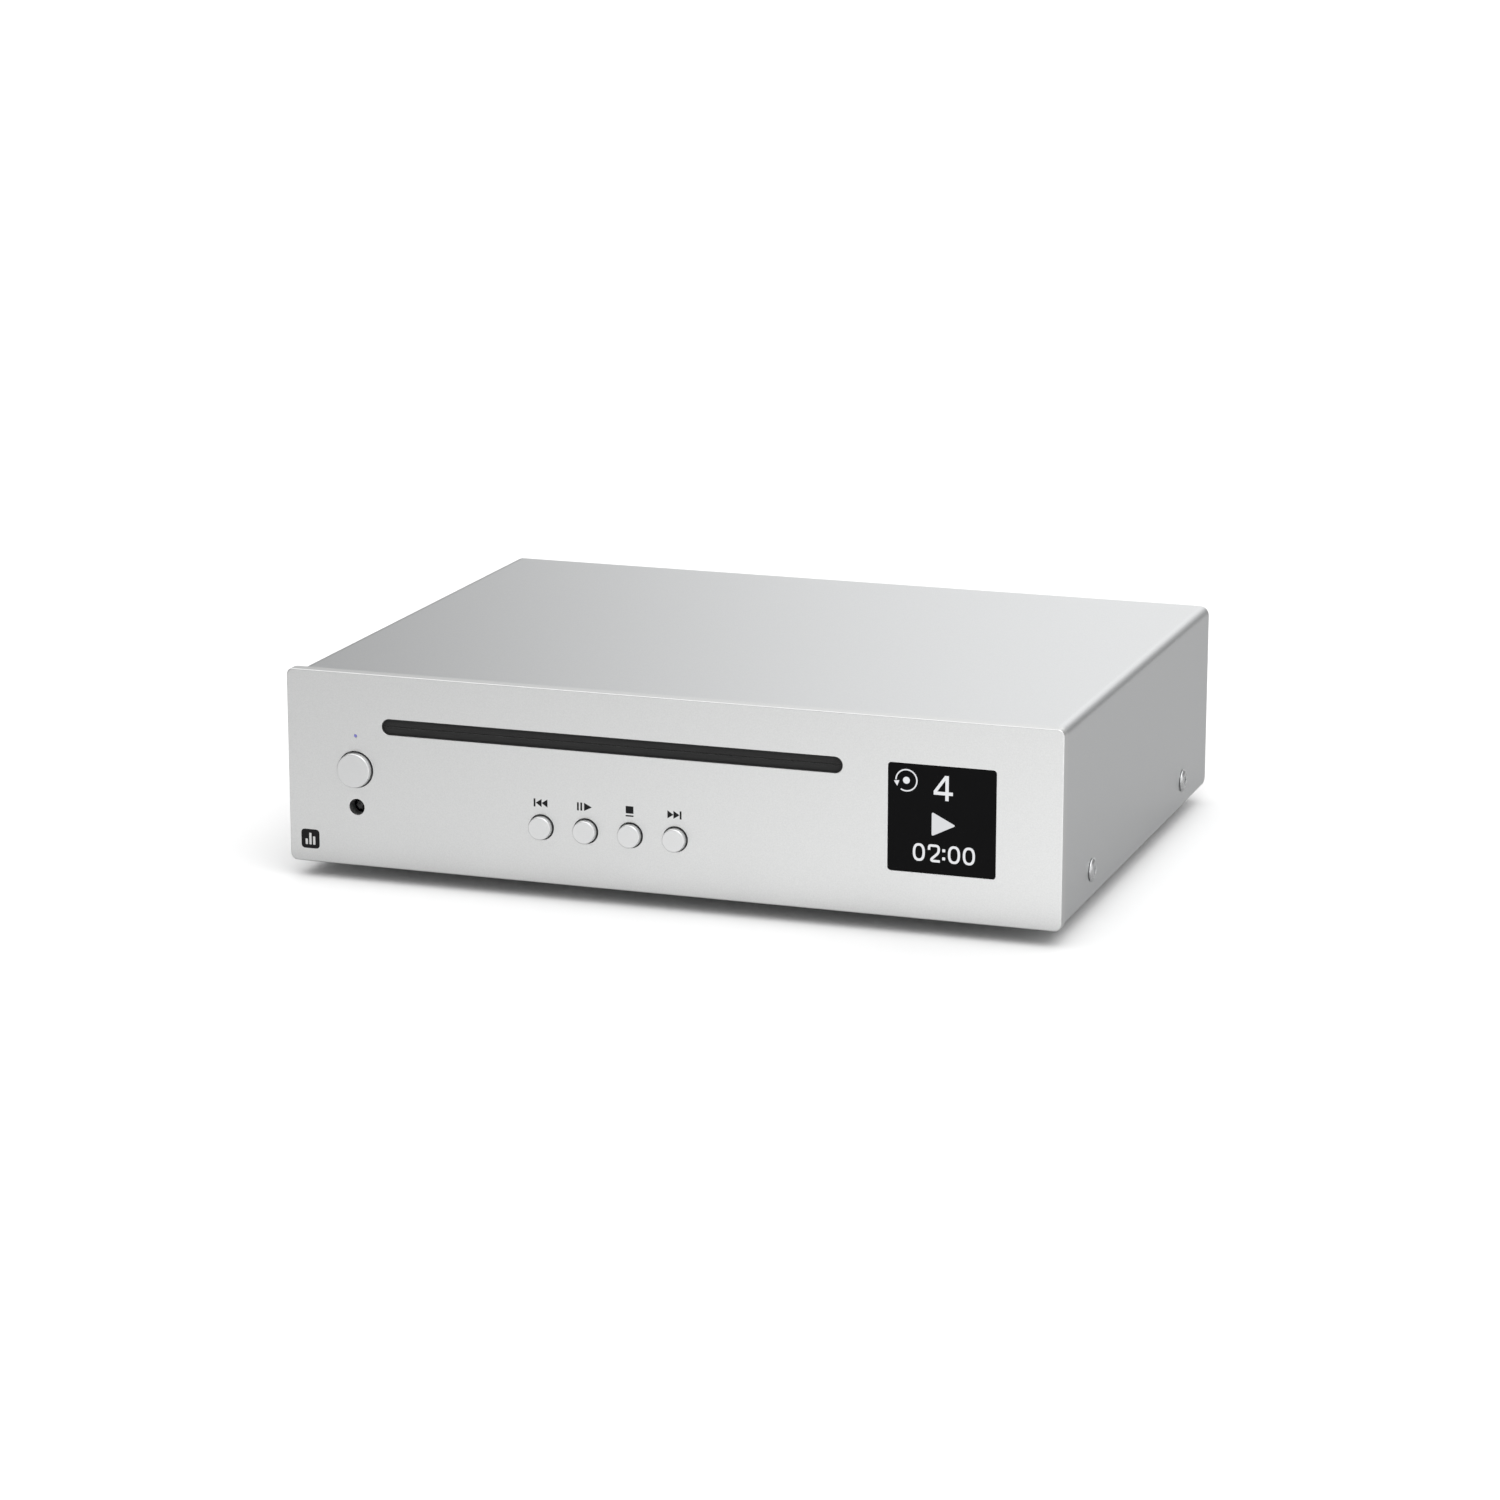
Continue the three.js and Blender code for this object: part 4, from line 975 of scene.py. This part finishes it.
def build_optical():
    """A square black socket behind a dust shutter."""
    lo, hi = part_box("optical_out_socket")
    centre = middle("optical_out_socket")
    size, recess = hi.x - lo.x, 8.2 * MM
    body = rounded(centre.x, centre.z, size, size, 0.5 * MM)
    mouth = rounded(centre.x, centre.z, recess, recess, 0.4 * MM)
    bm = bmesh.new()
    outer = wall(bm, body, edge_profile(lo.y, hi.y, 0.3 * MM, 0.3 * MM))
    profile = [(hi.y - 6 * MM, 0), (hi.y - 0.3 * MM, 0), (hi.y, -0.2 * MM)]
    inner = wall(bm, mouth, profile, sign=-1)
    cap(bm, outer[0])
    cap(bm, outer[-1], inner[-1])
    cap(bm, inner[0])
    piece(finished(bm, "optical_socket_body"), "black_plastic", stands_for=["optical_out_socket"])
    door = rounded(centre.x, centre.z, recess - 0.5 * MM, recess - 0.5 * MM, 0.3 * MM)
    shutter = plate("optical_shutter", door, hi.y - 2.2 * MM, hi.y - 1.4 * MM, 0.1 * MM, 0.2 * MM)
    piece(shutter, "receiver_plastic")


def build_power_inlet():
    lo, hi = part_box("power_inlet")
    centre = middle("power_inlet")
    at = (centre.x, centre.z)
    body, throat, pin_radius, recess = 5.5 * MM, 3.1 * MM, 1.0 * MM, 9 * MM
    mesh = lathe("power_inlet_barrel", "y", at, [
        (0, lo.y),
        (body, lo.y),
        (body, hi.y),
        (throat, hi.y),
        (throat, hi.y - recess),
        (0, hi.y - recess),
    ], radius=0.4 * MM)
    piece(mesh, "black_plastic", stands_for=["power_inlet"])
    pin = lathe("power_inlet_pin", "y", at, [
        (0, hi.y - recess),
        (pin_radius, hi.y - recess),
        (pin_radius, hi.y - 1 * MM),
        (0, hi.y - 1 * MM),
    ], radius=0.4 * MM)
    piece(pin, "bright_steel")


def build_rear():
    build_phono("line_out_left_socket", RING_WHITE)
    build_phono("line_out_right_socket", RING_RED)
    build_phono("coaxial_out_socket", RING_ORANGE)
    build_optical()
    build_power_inlet()


# ---------------------------------------------------------------- mechanism kept from the CAD model

INSIDE = {
    "sheet_steel": [
        "base_tray", "drive_frame", "drive_lid", "drive_bracket_left", "drive_bracket_right",
        "traverse_plate", "lift_slider", "clamp_arm",
    ],
    "cover_aluminium": ["rear_panel"],
    "motor_steel": ["loading_motor", "spindle_motor", "sled_motor"],
    "bright_steel": [
        "roller_shaft", "idler_pin", "guide_rod_front", "guide_rod_rear", "lead_screw",
    ],
    "black_metal": ["heat_sink"],
    "roller_rubber": ["feed_roller"],
    "lens_glass": ["objective_lens"],
    "circuit_board": [
        "main_board", "servo_board", "button_board", "standby_board", "display_module",
    ],
    "black_plastic": [
        "filter_capacitor_front", "filter_capacitor_rear", "turntable", "optical_sled",
        "clamp_puck",
    ],
    "white_plastic": ["disc_guide", "roller_gear", "idler_gear", "motor_pinion"],
}


def finish_mechanism():
    for slot, nodes in INSIDE.items():
        for node in nodes:
            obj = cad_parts[node]
            obj.data.materials.clear()
            obj.data.materials.append(MATERIALS[slot])


# ---------------------------------------------------------------- studio

def build_floor():
    """A wide plain floor that is lighter to look at than in the light it throws on the object."""
    bm = bmesh.new()
    reach = 15
    corners = [(-reach, -reach, 0), (reach, -reach, 0), (reach, reach, 0), (-reach, reach, 0)]
    bm.faces.new([bm.verts.new(corner) for corner in corners])
    floor = bpy.data.objects.new("studio_floor", finished(bm, "studio_floor"))
    bpy.context.collection.objects.link(floor)
    shader = Shader("studio_floor", Specular_IOR_Level=0.0)
    seen = shader.node("ShaderNodeLightPath").outputs["Is Camera Ray"]
    shader.colour(seen, (0.46, 0.46, 0.46), (0.98, 0.98, 0.98))
    shader.roughness(shader.noise(0.5), 0.9, 0.95)
    floor.data.materials.append(shader.material)


def direction(azimuth, elevation):
    """A unit vector: azimuth 0 looks out of the front panel and 90 to its right."""
    a, e = math.radians(azimuth), math.radians(elevation)
    return Vector((math.sin(a) * math.cos(e), -math.cos(a) * math.cos(e), math.sin(e)))


AMBIENT = 0.265
# Each soft light: azimuth, elevation, angular radius, width of its soft edge, brightness, and
# how far heights are squeezed before its shape is drawn: less than 1 makes it tall and narrow.
STUDIO = [
    (0, 90, 47, 24, 1.22, 1.0),
    (45, 16, 54, 14, 0.82, 1.0),
    (184.3, 5, 15.5, 14, 0.82, 0.35),
]
# Strips of light lie just over the floor before the panel, in metres, brighter to the right.
STRIPS = {
    "left": -0.42, "right": 0.42, "near": -0.0905, "far": -0.75, "height": 0.001,
    "count": 21, "dim": 0.26, "bright": 0.87, "rise_from": -0.2, "rise_to": 0.2,
}


def lay_light_strips():
    """Light the front panel from below and before it, most of all at its right."""
    width = (STRIPS["right"] - STRIPS["left"]) / STRIPS["count"]
    depth = STRIPS["near"] - STRIPS["far"]
    for i in range(STRIPS["count"]):
        x = STRIPS["left"] + (i + 0.5) * width
        rise = (x - STRIPS["rise_from"]) / (STRIPS["rise_to"] - STRIPS["rise_from"])
        brightness = STRIPS["dim"] + (STRIPS["bright"] - STRIPS["dim"]) * min(1.0, max(0.0, rise))
        light = bpy.data.lights.new(f"light_strip_{i}", "AREA")
        light.shape = "RECTANGLE"
        light.size, light.size_y = width, depth
        light.energy = brightness * math.pi * width * depth
        strip_light = bpy.data.objects.new(f"light_strip_{i}", light)
        bpy.context.collection.objects.link(strip_light)
        strip_light.location = (x, STRIPS["near"] - depth / 2, STRIPS["height"])
        strip_light.rotation_euler = (math.pi, 0, 0)
        strip_light.visible_camera = False


def vector_node(nodes, operation, value=None):
    made = nodes.new("ShaderNodeVectorMath")
    made.operation = operation
    if value is not None:
        made.inputs[1].default_value = value
    return made


def soft_spot(nodes, links, ray, azimuth, elevation, radius, edge, brightness, squeeze):
    """The brightness, along each ray, of one soft-edged light in the sky."""
    squeezed = vector_node(nodes, "MULTIPLY", (1, 1, squeeze))
    links.new(ray, squeezed.inputs[0])
    unit = vector_node(nodes, "NORMALIZE")
    links.new(squeezed.outputs["Vector"], unit.inputs[0])
    facing = vector_node(nodes, "DOT_PRODUCT", direction(azimuth, elevation))
    links.new(unit.outputs["Vector"], facing.inputs[0])
    spot = nodes.new("ShaderNodeMapRange")
    spot.interpolation_type = "SMOOTHSTEP"
    spot.inputs["From Min"].default_value = math.cos(math.radians(radius + edge / 2))
    spot.inputs["From Max"].default_value = math.cos(math.radians(radius - edge / 2))
    spot.inputs["To Max"].default_value = brightness
    links.new(facing.outputs["Value"], spot.inputs["Value"])
    return spot.outputs["Result"]


def light_studio():
    """Broad soft lights far away, and a plain white backdrop behind the object."""
    world = bpy.data.worlds.new("studio")
    bpy.context.scene.world = world
    world.use_nodes = True
    nodes, links = world.node_tree.nodes, world.node_tree.links
    background = nodes["Background"]
    background.inputs["Color"].default_value = (1, 1, 1, 1)
    ray = nodes.new("ShaderNodeTexCoord").outputs["Generated"]
    total = None
    for light in STUDIO:
        add = nodes.new("ShaderNodeMath")
        add.inputs[1].default_value = AMBIENT
        if total:
            links.new(total, add.inputs[1])
        links.new(soft_spot(nodes, links, ray, *light), add.inputs[0])
        total = add.outputs["Value"]
    links.new(total, background.inputs["Strength"])
    backdrop = nodes.new("ShaderNodeBackground")
    backdrop.inputs["Color"].default_value = (1, 1, 1, 1)
    seen = nodes.new("ShaderNodeMixShader")
    links.new(nodes.new("ShaderNodeLightPath").outputs["Is Camera Ray"], seen.inputs["Fac"])
    links.new(background.outputs["Background"], seen.inputs[1])
    links.new(backdrop.outputs["Background"], seen.inputs[2])
    links.new(seen.outputs["Shader"], nodes["World Output"].inputs["Surface"])
    bpy.context.scene.view_settings.view_transform = "Standard"


CAMERA = {
    "azimuth": 19.095,
    "elevation": 14.023,
    "lens": 107.137,
    "place": (373.43 * MM, -1093.25 * MM, 311.39 * MM),
}


def add_camera():
    """A long lens, a little to the right and above."""
    data = bpy.data.cameras.new("camera")
    data.sensor_width = 36
    data.lens = CAMERA["lens"]
    data.clip_start, data.clip_end = 0.05, 60
    camera = bpy.data.objects.new("camera", data)
    bpy.context.collection.objects.link(camera)
    camera.location = CAMERA["place"]
    camera.rotation_mode = "QUATERNION"
    view = -direction(CAMERA["azimuth"], CAMERA["elevation"])
    camera.rotation_quaternion = view.to_track_quat("-Z", "Y")
    bpy.context.scene.camera = camera


add_camera()
light_studio()
lay_light_strips()
build_floor()
build_casing()
build_controls()
build_display_signs()
build_printed_signs()
build_rear()
finish_mechanism()
